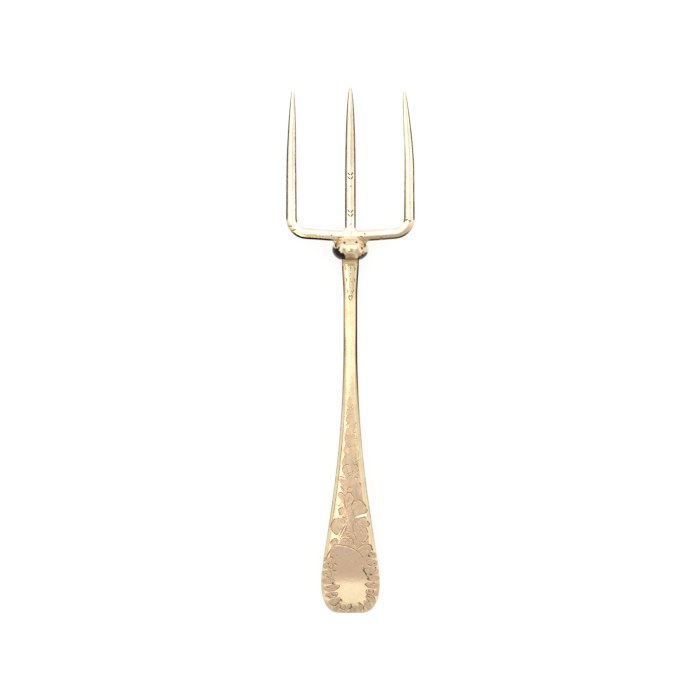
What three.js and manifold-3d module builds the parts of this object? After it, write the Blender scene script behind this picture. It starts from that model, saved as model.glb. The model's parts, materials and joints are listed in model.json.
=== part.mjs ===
// A bread fork of silver-plated nickel silver, hard-soldered from a handle, a knop, a yoke and a centre tine.
// It lies face up on a table: X across the tines, Y along the fork towards the points, Z up.
// The origin is on the table, half way along the fork. Sizes are in millimetres.
import * as THREE from "three";
import { mergeVertices } from "three/addons/utils/BufferGeometryUtils.js";
import Module from "manifold-3d";

const wasm = await Module();
wasm.setup();

// Knop: the bun-shaped ball at the root of the tines
const KNOP_DIAMETER = 14;
const KNOP_LENGTH = 9.6;
const STEM_SEAT_DIAMETER = 8.4; // flat on its underside for the stem's shoulder
const SADDLE_DEPTH = 1.8; // how far the crossbar is let into its top

// Rod that the tines and the crossbar are drawn from
const ROD_WIDTH = 4.1;
const ROD_DEPTH = 3.7;
const ROD_TOP_WIDTH = 2.7; // crowned top between its chamfers
const ROD_CROWN = 0.28;
const ROD_CHAMFER = 0.54; // depth of the chamfers
const ROD_UNDER_WIDTH = 1.7; // flat of the underside
const ROD_UNDER_DEPTH = 1.3; // depth of the underside's rounding
const POINT_LAND = 0.15; // blunting of the points

// Tines, measured from the middle of the crossbar
const TINE_PITCH = 22.5; // centre tine to outer tine
const CENTRE_TINE = { length: 56.5, taper: 38 };
const OUTER_TINES = {
  left: { side: -1, length: 55.5, taper: 54, lean: 0.6 },
  right: { side: 1, length: 55.2, taper: 54, lean: 2 },
};
const LEAN_START = 30; // height above the crossbar from which the outer tines lean inwards
const LEAN_RADIUS = 150;
const TIP_RISE = 4; // how far the points curve up out of the crossbar's level

// Crossbar, bent from one rod with the outer tines
const BAR_BOW = 1.4; // its corners stand this far above its middle
const BAR_RADIUS = 120;
const BEND_RADIUS = 6;

// Handle, from its shoulder under the knop to its turned-down end
const HANDLE_LENGTH = 134.7; // as seen from above
const NECK_WIDTH = 6.5;
const NECK_LENGTH = 16;
const NECK_THICKNESS = 4.2;
const STEM_WIDTH = 5.2;
const STEM_LENGTH = 14.5;
const BLADE_WIDTH = 22.4;
const BLADE_THICKNESS = 2.7;
const CROWN_RADIUS = 130; // of the front face, across the handle
const END_LENGTH = 12.5; // widest place to the end
const END_FLAT = 8.6; // straight part of the end
const END_LAND = 0.1; // depth of the flat that its rounding leaves
const END_THICKNESS = 2.1;
const BACK_EDGE_RADIUS = 0.5;
// Facets worked on the front's edges, from outside in: slope in degrees and width
const EDGE_FACETS = [
  { slope: 60, width: 0.15 },
  { slope: 31, width: 0.8 },
  { slope: 21, width: 0.45 },
  { slope: 11, width: 0.65 },
];
// They run out towards the end and the neck: share of their depth that is left there, and where they lose the
// rest, measured from the end
const END_FACETS = { share: 0.05, from: 30, to: 0 };
const NECK_FACETS = { share: 0.45, from: 85, to: 115 };

// Handle seen from the side: where its back bends, measured from the shoulder
const RAMP_FOOT = 12;
const CREST_START = 58;
const CREST_END = 114;
const CREST_RISE = 3.5;
const RAMP_RADIUS = 120;
const CREST_RADIUS = 400;
const DOWNTURN_RADIUS = 95;

// Soldered joints
const PEG_DIAMETER = 2;
const PEG_CLEARANCE = 0.15;
const PEG_LENGTH = 3.2; // centre tine's peg below the crossbar's middle
const TANG_LENGTH = 3.4; // handle's tang above its shoulder
const SEAT_GAP = 0.3; // between the fitted faces
const STEM_FILLET = { length: 1.7, width: 0.5, depth: 1.4 }; // collar: length, and flare to the sides and in depth
const STEM_FILLET_EDGE = 0.15; // thickness of the collar's lower edge
const TINE_FILLET = 1.8;
const SADDLE_FILLET = 1.3;
const WEB_SHARE = 0.7; // thickness of the webs beside the crossbar, as a share of the rod's

// Fineness of the facets
const PEG_SIDES = 20;
const KNOP_SIDES = 40;
const BEND_STEP = Math.PI / 15;
const LEAST_STEP = 0.05;

const knopRadius = KNOP_DIAMETER / 2;
const knopHalf = KNOP_LENGTH / 2;
const stemSeat = knopHalf * Math.sqrt(1 - (STEM_SEAT_DIAMETER / KNOP_DIAMETER) ** 2); // below the knop's centre
const shoulder = stemSeat + SEAT_GAP;
const barBottom = knopHalf - SADDLE_DEPTH;
const barMiddle = barBottom + ROD_WIDTH / 2;
const barTop = barMiddle + ROD_WIDTH / 2;
const webDepth = WEB_SHARE * ROD_DEPTH;
const endRadius = END_THICKNESS / 2; // the end is rounded through its thickness

// Closed mesh geometry to a solid, and back
function solidOf(geometry) {
  const bare = geometry.clone();
  bare.deleteAttribute("normal");
  bare.deleteAttribute("uv");
  const merged = mergeVertices(bare, 1e-4);
  const vertProperties = new Float32Array(merged.attributes.position.array);
  const triVerts = new Uint32Array(merged.index.array);
  return new wasm.Manifold(new wasm.Mesh({ numProp: 3, vertProperties, triVerts }));
}

function geometryOf(solid) {
  const mesh = solid.getMesh();
  const geometry = new THREE.BufferGeometry();
  geometry.setAttribute("position", new THREE.BufferAttribute(mesh.vertProperties, 3));
  geometry.setIndex(new THREE.BufferAttribute(mesh.triVerts, 1));
  geometry.computeVertexNormals();
  return geometry;
}

// A skin through rings of equally many points, with flat ends.
// Each ring runs anticlockwise for someone whom the rings come towards.
function loft(rings) {
  const count = rings[0].length;
  const points = rings.flat();
  const faces = [];
  for (let band = 0; band < rings.length - 1; band++) {
    for (let i = 0; i < count; i++) {
      const a = band * count + i;
      const b = band * count + ((i + 1) % count);
      faces.push(a, b, b + count, a, b + count, a + count);
    }
  }
  const middle = (ring) => ring.reduce((sum, p) => sum.add(p), new THREE.Vector3()).divideScalar(count);
  const first = points.push(middle(rings[0])) - 1;
  const last = points.push(middle(rings.at(-1))) - 1;
  const lastRing = (rings.length - 1) * count;
  for (let i = 0; i < count; i++) {
    const next = (i + 1) % count;
    faces.push(first, next, i, last, lastRing + i, lastRing + next);
  }
  return new THREE.BufferGeometry().setFromPoints(points).setIndex(faces);
}

// A path along straight lines whose inner corners are rounded by arcs
function roundedPath(corners, radii) {
  const path = new THREE.Path();
  path.moveTo(corners[0].x, corners[0].y);
  radii.forEach((radius, i) => {
    const [before, corner, after] = corners.slice(i, i + 3);
    const into = corner.clone().sub(before).normalize();
    const out = after.clone().sub(corner).normalize();
    const turn = Math.atan2(into.cross(out), into.dot(out));
    const start = corner.clone().addScaledVector(into, -radius * Math.tan(Math.abs(turn) / 2));
    const inwards = new THREE.Vector2(-into.y, into.x).multiplyScalar(Math.sign(turn));
    const centre = start.clone().addScaledVector(inwards, radius);
    const from = Math.atan2(-inwards.y, -inwards.x);
    path.lineTo(start.x, start.y);
    path.absarc(centre.x, centre.y, radius, from, from + turn, turn < 0);
  });
  path.lineTo(corners.at(-1).x, corners.at(-1).y);
  return path;
}

// Share of the rod's full section at a distance from a point
function pointShare(distance, taper) {
  const along = Math.min(1, (distance + POINT_LAND) / (taper + POINT_LAND));
  return Math.sin((Math.PI / 2) * Math.sqrt(along));
}

// Distances from a point at which its taper needs a section, closer together near the point
function taperStations(taper) {
  const STEPS = 14;
  return Array.from({ length: STEPS + 1 }, (_, i) => taper * (i / STEPS) ** 2);
}

// The tines' upward curve, level at the crossbar
function lift(y, length) {
  const span = barMiddle + length - barTop;
  const along = Math.max(0, (y - barTop) / span);
  return { z: TIP_RISE * along ** 2, slope: (2 * TIP_RISE * along) / span };
}

// Half of the rod's section, from its underside up to the middle of its top: distances to one side, and up
const rodHalfSection = (() => {
  const half = ROD_WIDTH / 2;
  const top = ROD_DEPTH / 2;
  const under = ROD_UNDER_WIDTH / 2;
  const UNDER_STEPS = 3;
  const CROWN_STEPS = 2;
  const points = [];
  for (let i = 0; i <= UNDER_STEPS; i++) {
    const angle = (Math.PI / 2) * (i / UNDER_STEPS);
    points.push([under + (half - under) * Math.sin(angle), ROD_UNDER_DEPTH * (1 - Math.cos(angle)) - top]);
  }
  points.push([half, top - ROD_CROWN - ROD_CHAMFER]);
  for (let i = 0; i <= CROWN_STEPS; i++) {
    const out = 1 - i / CROWN_STEPS;
    points.push([(out * ROD_TOP_WIDTH) / 2, top - ROD_CROWN * out ** 2]);
  }
  return points;
})();

// The whole section as points, each with the direction in which it moves when the rod is swelled
const rodSection = (() => {
  const other = rodHalfSection.slice(0, -1).map(([out, up]) => [-out, up]);
  const points = [...rodHalfSection, ...other.reverse()].map(([out, up]) => new THREE.Vector2(out, up));
  const outwards = (a, b) => new THREE.Vector2(b.y - a.y, a.x - b.x).normalize();
  return points.map((point, i) => {
    const into = outwards(points.at(i - 1), point);
    const away = outwards(point, points[(i + 1) % points.length]);
    const swell = into.clone().add(away);
    return { point, swell: swell.divideScalar(swell.dot(into)) };
  });
})();

// Section of the rod at a place in plan, square to its heading and swelled all round by grow
function rodRing({ at, heading, share, length }, grow) {
  const { z, slope } = lift(at.y, length);
  const run = new THREE.Vector3(heading.x, heading.y, heading.y * slope).normalize();
  const side = new THREE.Vector3(0, 0, 1).cross(run).normalize();
  const up = new THREE.Vector3().crossVectors(run, side);
  return rodSection.map(({ point, swell }) => {
    const p = point.clone().multiplyScalar(share).addScaledVector(swell, grow);
    return new THREE.Vector3(at.x, at.y, z).addScaledVector(side, p.x).addScaledVector(up, p.y);
  });
}

const rodSolid = (places, grow) => solidOf(loft(places.map((place) => rodRing(place, grow))));

function pegAlongY(diameter, from, to) {
  const peg = new THREE.CylinderGeometry(diameter / 2, diameter / 2, to - from, PEG_SIDES);
  return solidOf(peg.translate(0, (from + to) / 2, 0));
}

// Yoke: crossbar and outer tines, bent from one rod
const yokePath = (() => {
  const corner = ({ side }) => new THREE.Vector2(side * TINE_PITCH, barMiddle + BAR_BOW);
  const knee = ({ side }) => new THREE.Vector2(side * TINE_PITCH, barMiddle + LEAN_START);
  const point = ({ side, length, lean }) => new THREE.Vector2(side * (TINE_PITCH - lean), barMiddle + length);
  const { left, right } = OUTER_TINES;
  // The arc through the bar's middle passes above the corner that it rounds.
  const bend = Math.atan(BAR_BOW / TINE_PITCH);
  const middle = new THREE.Vector2(0, barMiddle - BAR_RADIUS * (1 / Math.cos(bend) - 1));
  return roundedPath(
    [point(left), knee(left), corner(left), middle, corner(right), knee(right), point(right)],
    [LEAN_RADIUS, BEND_RADIUS, BAR_RADIUS, BEND_RADIUS, LEAN_RADIUS],
  );
})();

const yokePlaces = (() => {
  const { left, right } = OUTER_TINES;
  const total = yokePath.getLength();
  const stations = [
    ...taperStations(left.taper),
    ...taperStations(right.taper).map((distance) => total - distance),
  ];
  let start = 0;
  yokePath.curves.forEach((curve) => {
    const span = curve.getLength();
    if (curve.isEllipseCurve) {
      const steps = Math.max(2, Math.ceil(Math.abs(curve.aEndAngle - curve.aStartAngle) / BEND_STEP));
      stations.push(...Array.from({ length: steps + 1 }, (_, i) => start + (span * i) / steps));
    }
    start += span;
  });
  stations.sort((a, b) => a - b);
  const apart = stations.filter((station, i) => i === 0 || station - stations[i - 1] > LEAST_STEP);
  return apart.map((station) => {
    const isLeft = station < total / 2;
    const { taper, length } = isLeft ? left : right;
    const share = pointShare(isLeft ? station : total - station, taper);
    const u = station / total;
    return { at: yokePath.getPoint(u), heading: yokePath.getTangent(u), share, length };
  });
})();

const yokeRod = (grow) => rodSolid(yokePlaces, grow);
const pegHole = pegAlongY(PEG_DIAMETER + 2 * PEG_CLEARANCE, -KNOP_LENGTH, barTop + ROD_WIDTH);
const yoke = yokeRod(0).subtract(pegHole);

// Centre tine: its foot is cut to the crossbar, and its peg goes through into the knop
const centrePlaces = [CENTRE_TINE.length, ...taperStations(CENTRE_TINE.taper).reverse()].map((distance) => ({
  at: new THREE.Vector2(0, barMiddle + CENTRE_TINE.length - distance),
  heading: new THREE.Vector2(0, 1),
  share: pointShare(distance, CENTRE_TINE.taper),
  length: CENTRE_TINE.length,
}));
const centreRod = (grow) => rodSolid(centrePlaces, grow);
const centreTine = centreRod(0)
  .subtract(yokeRod(SEAT_GAP))
  .add(pegAlongY(PEG_DIAMETER, barMiddle - PEG_LENGTH, barTop + ROD_WIDTH));

// Knop: turned bun, swelled all round by grow, with its flat for the stem
function knopBlank(grow) {
  const radius = knopRadius + grow;
  const half = knopHalf + grow;
  const floor = stemSeat + grow;
  const STEPS = 22;
  const start = -Math.asin(floor / half);
  const profile = [new THREE.Vector2(0, -floor)];
  for (let i = 0; i < STEPS; i++) {
    const angle = start + ((Math.PI / 2 - start) * i) / STEPS;
    profile.push(new THREE.Vector2(radius * Math.cos(angle), half * Math.sin(angle)));
  }
  profile.push(new THREE.Vector2(0, half));
  return solidOf(new THREE.LatheGeometry(profile, KNOP_SIDES));
}

const knop = knopBlank(0).subtract(pegHole).subtract(yokeRod(SEAT_GAP));

// Handle seen from the side: its back, level at the crest and tangent to the end's rounding
const handleReach = shoulder + HANDLE_LENGTH;
const handleBack = (() => {
  const neckBack = -NECK_THICKNESS / 2;
  const crestBack = neckBack + CREST_RISE;
  const run = HANDLE_LENGTH - CREST_END - endRadius;
  const drop = crestBack + knopRadius - endRadius;
  const toRounding = Math.hypot(run, drop);
  const slope = Math.atan2(drop, run) + Math.asin(endRadius / toRounding);
  const descent = Math.sqrt(toRounding ** 2 - endRadius ** 2) + endRadius;
  const crestEnd = new THREE.Vector2(-shoulder - CREST_END, crestBack);
  return roundedPath(
    [
      new THREE.Vector2(-shoulder, neckBack),
      new THREE.Vector2(-shoulder - RAMP_FOOT, neckBack),
      new THREE.Vector2(-shoulder - CREST_START, crestBack),
      crestEnd,
      new THREE.Vector2(-Math.cos(slope), -Math.sin(slope)).multiplyScalar(descent).add(crestEnd),
    ],
    [RAMP_RADIUS, CREST_RADIUS, DOWNTURN_RADIUS],
  );
})();
const handleSpan = handleBack.getLength();

// Handle seen from the front: half widths against the distance along its back from the end
const handleOutline = (() => {
  const neckEnd = handleSpan - NECK_LENGTH;
  const stemEnd = neckEnd - STEM_LENGTH;
  const flare = stemEnd - END_LENGTH;
  const SLENDER = 0.55; // share of the flare over which the stem's line carries on
  const FULL = 0.12; // and the widest place's
  const SQUARENESS = 0.62; // 0.55 rounds the end as an ellipse
  const corner = (BLADE_WIDTH - END_FLAT) / 2;
  const path = new THREE.Path();
  path.moveTo(handleSpan, NECK_WIDTH / 2);
  path.bezierCurveTo(
    handleSpan - NECK_LENGTH / 3, NECK_WIDTH / 2,
    neckEnd + NECK_LENGTH / 2, STEM_WIDTH / 2,
    neckEnd, STEM_WIDTH / 2,
  );
  path.lineTo(stemEnd, STEM_WIDTH / 2);
  path.bezierCurveTo(
    stemEnd - SLENDER * flare, STEM_WIDTH / 2,
    END_LENGTH + FULL * flare, BLADE_WIDTH / 2,
    END_LENGTH, BLADE_WIDTH / 2,
  );
  path.bezierCurveTo(
    END_LENGTH - SQUARENESS * (END_LENGTH - END_LAND), BLADE_WIDTH / 2,
    END_LAND, END_FLAT / 2 + SQUARENESS * corner,
    END_LAND, END_FLAT / 2,
  );
  return path;
})();

// Half of the handle's section, from its flat back round the faceted edge to the top of its crown
function handleHalfSection(half, thickness, facetShare) {
  const BACK_STEPS = 3;
  const CROWN_STEPS = 4;
  const backRadius = BACK_EDGE_RADIUS;
  const points = [[(half - backRadius) / 2, 0]];
  for (let i = 0; i <= BACK_STEPS; i++) {
    const angle = (Math.PI / 2) * (i / BACK_STEPS);
    points.push([half - backRadius * (1 - Math.sin(angle)), backRadius * (1 - Math.cos(angle))]);
  }
  const falls = EDGE_FACETS.map(({ slope, width }) => facetShare * width * Math.tan(THREE.MathUtils.degToRad(slope)));
  let drop = falls.reduce((sum, fall) => sum + fall, 0);
  let across = half;
  const front = () => points.push([across, thickness - drop - across ** 2 / (2 * CROWN_RADIUS)]);
  front();
  EDGE_FACETS.forEach(({ width }, i) => {
    across -= width;
    drop -= falls[i];
    front();
  });
  const field = across;
  for (let i = 1; i <= CROWN_STEPS; i++) {
    across = field * (1 - i / CROWN_STEPS);
    front();
  }
  return points;
}

// Thickness along the handle: neck to blade, then thinning round the end
function handleThickness(fromEnd) {
  const slim = (handleSpan - fromEnd) / (handleSpan - END_LENGTH);
  const body = THREE.MathUtils.lerp(NECK_THICKNESS, BLADE_THICKNESS, Math.min(1, slim));
  return THREE.MathUtils.lerp(END_THICKNESS, body, Math.sqrt(Math.min(1, fromEnd / END_LENGTH)));
}

// Section of the handle at a distance from its end, which is rounded through its thickness
function handleRing(fromEnd, half) {
  const u = 1 - fromEnd / handleSpan;
  const back = handleBack.getPoint(u);
  const heading = handleBack.getTangent(u);
  const front = new THREE.Vector2(heading.y, -heading.x);
  const facetShare = Math.min(...[END_FACETS, NECK_FACETS].map(({ share, from, to }) =>
    THREE.MathUtils.lerp(1, share, THREE.MathUtils.smoothstep((fromEnd - from) / (to - from), 0, 1))));
  const thickness = handleThickness(fromEnd);
  const intoRounding = Math.max(0, endRadius - fromEnd);
  const trim = endRadius - Math.sqrt(endRadius ** 2 - intoRounding ** 2); // off the front and the back
  const place = ([across, out]) => {
    const p = back.clone().addScaledVector(front, trim + out * (1 - (2 * trim) / thickness));
    return new THREE.Vector3(across, p.x, p.y);
  };
  const section = handleHalfSection(half, thickness, facetShare);
  const mirrored = section.slice(0, -1).map(([across, out]) => [-across, out]);
  return [...section, ...mirrored.reverse()].map(place);
}

const handleRings = (() => {
  const CURVE_STEPS = [6, 3, 18, 14]; // neck, stem, flare, end
  const stations = handleOutline.curves.flatMap((curve, i) => curve.getPoints(CURVE_STEPS[i]).slice(i ? 1 : 0));
  return stations.map(({ x, y }) => handleRing(x, y));
})();

const tang = pegAlongY(PEG_DIAMETER, -shoulder - NECK_THICKNESS, TANG_LENGTH - shoulder);
const handle = solidOf(loft(handleRings)).add(tang);

// Solder round the stem: a trumpet-shaped collar that runs from the neck out to the knop's flat
const stemFillet = (() => {
  const STEPS = 6;
  const { length, width, depth } = STEM_FILLET;
  const collar = (y, spread, flare) => {
    const wider = 1 + (2 * (spread + width * flare)) / NECK_WIDTH;
    const deeper = 1 + (2 * (spread + depth * flare)) / NECK_THICKNESS;
    return handleRing(handleSpan, NECK_WIDTH / 2).map((p) => new THREE.Vector3(p.x * wider, y, p.z * deeper));
  };
  const cheek = Array.from({ length: STEPS + 1 }, (_, i) => {
    const angle = (Math.PI / 2) * (i / STEPS);
    return collar(-shoulder - length * (1 - Math.cos(angle)), SEAT_GAP + STEM_FILLET_EDGE, 1 - Math.sin(angle));
  });
  const stem = [collar(-shoulder + length, SEAT_GAP, 0), collar(-shoulder - 2 * length, SEAT_GAP, 0)];
  const seat = pegAlongY(STEM_SEAT_DIAMETER + 2 * SEAT_GAP, -shoulder - 2 * length, 0);
  return solidOf(loft(cheek)).intersect(seat).subtract(solidOf(loft(stem)));
})();

// A web in the corner between two pieces: a block from one place in plan to another, less a round of the
// fillet's radius about the second place
function web(from, to, radius) {
  const block = new THREE.BoxGeometry(Math.abs(to.x - from.x), Math.abs(to.y - from.y), webDepth);
  block.translate((from.x + to.x) / 2, (from.y + to.y) / 2, 0);
  const round = new THREE.CylinderGeometry(radius, radius, 2 * webDepth, 2 * PEG_SIDES);
  round.rotateX(Math.PI / 2).translate(to.x, to.y, 0);
  return solidOf(block).subtract(solidOf(round));
}

function tineFillet({ side }) {
  const round = new THREE.Vector2(side * (ROD_WIDTH / 2 + TINE_FILLET), barTop + TINE_FILLET);
  return web(new THREE.Vector2(0, barMiddle), round, TINE_FILLET)
    .subtract(centreRod(SEAT_GAP))
    .subtract(yokeRod(SEAT_GAP));
}

function saddleFillet({ side }) {
  const bowHere = knopRadius ** 2 / (2 * BAR_RADIUS);
  const y = barBottom + bowHere - SADDLE_FILLET;
  const x = (knopRadius + SADDLE_FILLET) * Math.sqrt(1 - (y / (knopHalf + SADDLE_FILLET)) ** 2);
  return web(new THREE.Vector2((side * knopRadius) / 2, barMiddle), new THREE.Vector2(side * x, y), SADDLE_FILLET)
    .subtract(knopBlank(SEAT_GAP))
    .subtract(yokeRod(SEAT_GAP));
}

const FINISH = {
  plate: { color: 0xe6d2ae, roughness: 0.16, metalness: 1 },
  solder: { color: 0xd9c6a3, roughness: 0.28, metalness: 1 },
};

function piece(name, solid, finish) {
  const mesh = new THREE.Mesh(geometryOf(solid), new THREE.MeshStandardMaterial(FINISH[finish]));
  mesh.name = name;
  return mesh;
}

// The pieces are drawn about the knop's centre. The fork then lies on its knop and its handle's end.
const fork = new THREE.Group();
fork.position.set(0, (handleReach - barMiddle - CENTRE_TINE.length) / 2, knopRadius);
fork.add(
  piece("handle", handle, "plate"),
  piece("knop", knop, "plate"),
  piece("yoke", yoke, "plate"),
  piece("centre_tine", centreTine, "plate"),
  piece("stem_fillet", stemFillet, "solder"),
);
Object.entries(OUTER_TINES).forEach(([hand, tine]) => {
  fork.add(
    piece(`tine_fillet_${hand}`, tineFillet(tine), "solder"),
    piece(`saddle_fillet_${hand}`, saddleFillet(tine), "solder"),
  );
});

export default fork;
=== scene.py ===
import bisect
import json
import math

import bmesh
import bpy
from bmesh.types import BMEdge, BMFace, BMVert
from mathutils import Matrix, Vector, noise
from mathutils.bvhtree import BVHTree

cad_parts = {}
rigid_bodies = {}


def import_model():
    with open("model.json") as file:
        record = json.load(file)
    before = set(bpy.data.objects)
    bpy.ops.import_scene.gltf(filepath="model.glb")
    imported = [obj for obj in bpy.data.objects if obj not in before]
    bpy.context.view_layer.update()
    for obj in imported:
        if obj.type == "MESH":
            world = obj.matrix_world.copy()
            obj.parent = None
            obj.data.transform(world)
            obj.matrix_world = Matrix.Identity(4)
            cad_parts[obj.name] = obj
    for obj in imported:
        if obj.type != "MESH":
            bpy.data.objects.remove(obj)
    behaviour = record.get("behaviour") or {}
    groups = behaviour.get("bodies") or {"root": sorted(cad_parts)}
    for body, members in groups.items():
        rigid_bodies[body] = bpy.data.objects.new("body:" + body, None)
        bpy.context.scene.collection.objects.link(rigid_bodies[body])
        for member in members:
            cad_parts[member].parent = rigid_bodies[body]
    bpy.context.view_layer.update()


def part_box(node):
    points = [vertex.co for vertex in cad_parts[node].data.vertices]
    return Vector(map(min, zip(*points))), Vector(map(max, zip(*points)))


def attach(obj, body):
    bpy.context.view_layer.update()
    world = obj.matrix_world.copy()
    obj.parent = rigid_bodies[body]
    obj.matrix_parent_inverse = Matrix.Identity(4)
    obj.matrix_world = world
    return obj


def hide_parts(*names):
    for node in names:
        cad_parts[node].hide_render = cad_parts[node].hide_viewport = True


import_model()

# Pieces are drawn in millimetres about the knop's centre, points towards +Y, then set in the frame in metres
mm = 0.001
scene = bpy.context.scene
scene.view_settings.view_transform = "Standard"


# Materials

def linear(hexColour):
    parts = [int(hexColour[i:i + 2], 16) / 255 for i in (1, 3, 5)]
    return (*[p / 12.92 if p <= 0.04045 else ((p + 0.055) / 1.055) ** 2.4 for p in parts], 1)


def addNode(tree, kind, inputs={}, **settings):
    # an input is a value, a socket, or a node whose first output is meant
    node = tree.nodes.new("ShaderNode" + kind)
    for name, value in settings.items():
        setattr(node, name, value)
    for socket, value in inputs.items():
        if isinstance(value, bpy.types.Node):
            value = value.outputs[0]
        if isinstance(value, bpy.types.NodeSocket):
            tree.links.new(value, node.inputs[socket])
        else:
            node.inputs[socket].default_value = value
    return node


def newMaterial(name):
    material = bpy.data.materials.new(name)
    material.use_nodes = True
    material.node_tree.nodes.clear()
    return material, material.node_tree


plate = {
    "patch": 9.0,            # mm across a cloud of tarnish
    "mottle": 1.1,           # mm across a blotch where the plate is thin
    "speck": 2.2,            # mm between pin holes
    "pinHole": "#7d5f45",
    "scratch": (0.16, 7.0),  # mm wide and long, drawn wider than real ones so that they show
    "brown": "#a0845f",      # tarnish and painted shade go brown before they go black
    "black": "#221c16",
    # painted pink reflection down the middle of the blade, away from its end and its rims: places in m, none
    # to full
    "pinkReflection": 0.7,
    "pinkReflectionDown": (0.0, -0.07),
    "pinkReflectionFromEnd": (-0.097, -0.084),
    "pinkReflectionFromRim": (-0.001, -0.0035),
    "rimSpread": 0.14,       # how fast the blade's rims spread with its length
}


def tarnishedAndShaded(tree, colour):
    # painted strength of tarnish and of painted shade and dark reflections: up to a half it browns the metal,
    # and from there it blackens it
    painted = addNode(tree, "Attribute", attribute_name="tarnishAndPaintedShade")
    brownShare = addNode(tree, "MapRange", {"Value": painted.outputs["Fac"], "From Max": 0.5})
    blackShare = addNode(tree, "MapRange", {
        "Value": painted.outputs["Fac"], "From Min": 0.4, "From Max": 0.9})
    browned = addNode(tree, "Mix", {
        "Factor": brownShare, "A": colour, "B": linear(plate["brown"])}, data_type="RGBA")
    blackened = addNode(tree, "Mix", {
        "Factor": blackShare, "A": browned.outputs["Result"], "B": linear(plate["black"])}, data_type="RGBA")
    return blackened.outputs["Result"]


def polishedPlate(name, clean, warm, rosy, roughness, pinkReflection=False):
    # Silver plate over nickel silver, worn by hand polishing: warm mirror, clouded by old tarnish,
    # crossed by fine wiping scratches, dotted with pin holes, and browned or blackened by painted shade and
    # painted dark reflections
    material, tree = newMaterial(name)
    place = addNode(tree, "TexCoord").outputs["Object"]
    millimetres = addNode(tree, "Mapping", {"Vector": place, "Scale": (1000, 1000, 1000)})
    clouds = addNode(tree, "TexNoise", {
        "Vector": millimetres, "Scale": 1 / plate["patch"], "Detail": 5, "Roughness": 0.62})
    blotches = addNode(tree, "TexNoise", {
        "Vector": millimetres, "Scale": 1 / plate["mottle"], "Detail": 3, "Roughness": 0.7})
    specks = addNode(tree, "TexVoronoi", {
        "Vector": millimetres, "Scale": 1 / plate["speck"], "Randomness": 1})
    cloudShare = addNode(tree, "MapRange", {
        "Value": clouds.outputs["Fac"], "From Min": 0.38, "From Max": 0.72})
    blotchShare = addNode(tree, "MapRange", {
        "Value": blotches.outputs["Fac"], "From Min": 0.5, "From Max": 0.75, "To Max": 0.4})
    speckShare = addNode(tree, "MapRange", {
        "Value": specks.outputs["Distance"], "From Min": 0.07, "From Max": 0.03, "To Max": 0.6})
    clouded = addNode(tree, "Mix", {
        "Factor": cloudShare, "A": linear(clean), "B": linear(warm)}, data_type="RGBA")
    rosyShare = blotchShare
    # a painted pink reflection laid down the middle of the blade, over the rosy blotches
    if pinkReflection:
        spot = addNode(tree, "SeparateXYZ", {"Vector": place})
        start, full = plate["pinkReflectionDown"]
        downwards = addNode(tree, "MapRange", {
            "Value": spot.outputs["Y"], "From Min": start, "From Max": full, "To Max": plate["pinkReflection"]})
        start, full = plate["pinkReflectionFromEnd"]
        fromEnd = addNode(tree, "MapRange", {
            "Value": spot.outputs["Y"], "From Min": start, "From Max": full, "To Max": plate["pinkReflection"]})
        lengthwise = addNode(tree, "Math", {0: downwards, 1: fromEnd}, operation="MINIMUM")
        aside = addNode(tree, "Math", {0: spot.outputs["X"]}, operation="ABSOLUTE")
        pastRim = addNode(tree, "Math", {
            0: spot.outputs["Y"], 1: plate["rimSpread"], 2: aside}, operation="MULTIPLY_ADD")
        start, full = plate["pinkReflectionFromRim"]
        inside = addNode(tree, "MapRange", {"Value": pastRim, "From Min": start, "From Max": full})
        pinkReflectionShare = addNode(tree, "Math", {0: lengthwise, 1: inside}, operation="MULTIPLY")
        rosyShare = addNode(tree, "Math", {0: blotchShare, 1: pinkReflectionShare}, operation="MAXIMUM")
    mottled = addNode(tree, "Mix", {
        "Factor": rosyShare, "A": clouded.outputs["Result"], "B": linear(rosy)}, data_type="RGBA")
    dotted = addNode(tree, "Mix", {
        "Factor": speckShare, "A": mottled.outputs["Result"], "B": linear(plate["pinHole"])},
        data_type="RGBA")
    width, length = plate["scratch"]
    wiped = addNode(tree, "Mapping", {
        "Vector": place, "Scale": (1000 / width, 1000 / length, 1000 / width), "Rotation": (0, 0, 0.12)})
    scratches = addNode(tree, "TexNoise", {"Vector": wiped, "Scale": 1, "Detail": 2})
    rough = addNode(tree, "MapRange", {
        "Value": scratches.outputs["Fac"], "From Min": 0.3, "From Max": 0.8,
        "To Min": roughness, "To Max": roughness + 0.1})
    scratched = addNode(tree, "Bump", {
        "Height": scratches.outputs["Fac"], "Strength": 0.05, "Distance": 0.0002})
    uneven = addNode(tree, "Bump", {
        "Height": blotches.outputs["Fac"], "Strength": 0.06, "Distance": 0.0004,
        "Normal": scratched.outputs["Normal"]})
    metal = addNode(tree, "BsdfPrincipled", {
        "Base Color": tarnishedAndShaded(tree, dotted.outputs["Result"]), "Metallic": 1.0, "Roughness": rough,
        "Normal": uneven.outputs["Normal"]})
    addNode(tree, "OutputMaterial", {"Surface": metal.outputs["BSDF"]})
    return material


def graverCut(name, clean, browned, roughness):
    # Silver as the graver leaves it: a clean wall, browned where polish and tarnish stay in the line
    material, tree = newMaterial(name)
    place = addNode(tree, "TexCoord").outputs["Object"]
    millimetres = addNode(tree, "Mapping", {"Vector": place, "Scale": (1000, 1000, 1000)})
    dirt = addNode(tree, "TexNoise", {
        "Vector": millimetres, "Scale": 1 / plate["mottle"], "Detail": 4, "Roughness": 0.7})
    share = addNode(tree, "MapRange", {"Value": dirt.outputs["Fac"], "From Min": 0.35, "From Max": 0.7})
    colour = addNode(tree, "Mix", {
        "Factor": share, "A": linear(clean), "B": linear(browned)}, data_type="RGBA")
    metal = addNode(tree, "BsdfPrincipled", {
        "Base Color": tarnishedAndShaded(tree, colour.outputs["Result"]), "Metallic": 1.0, "Roughness": roughness})
    addNode(tree, "OutputMaterial", {"Surface": metal.outputs["BSDF"]})
    return material


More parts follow.
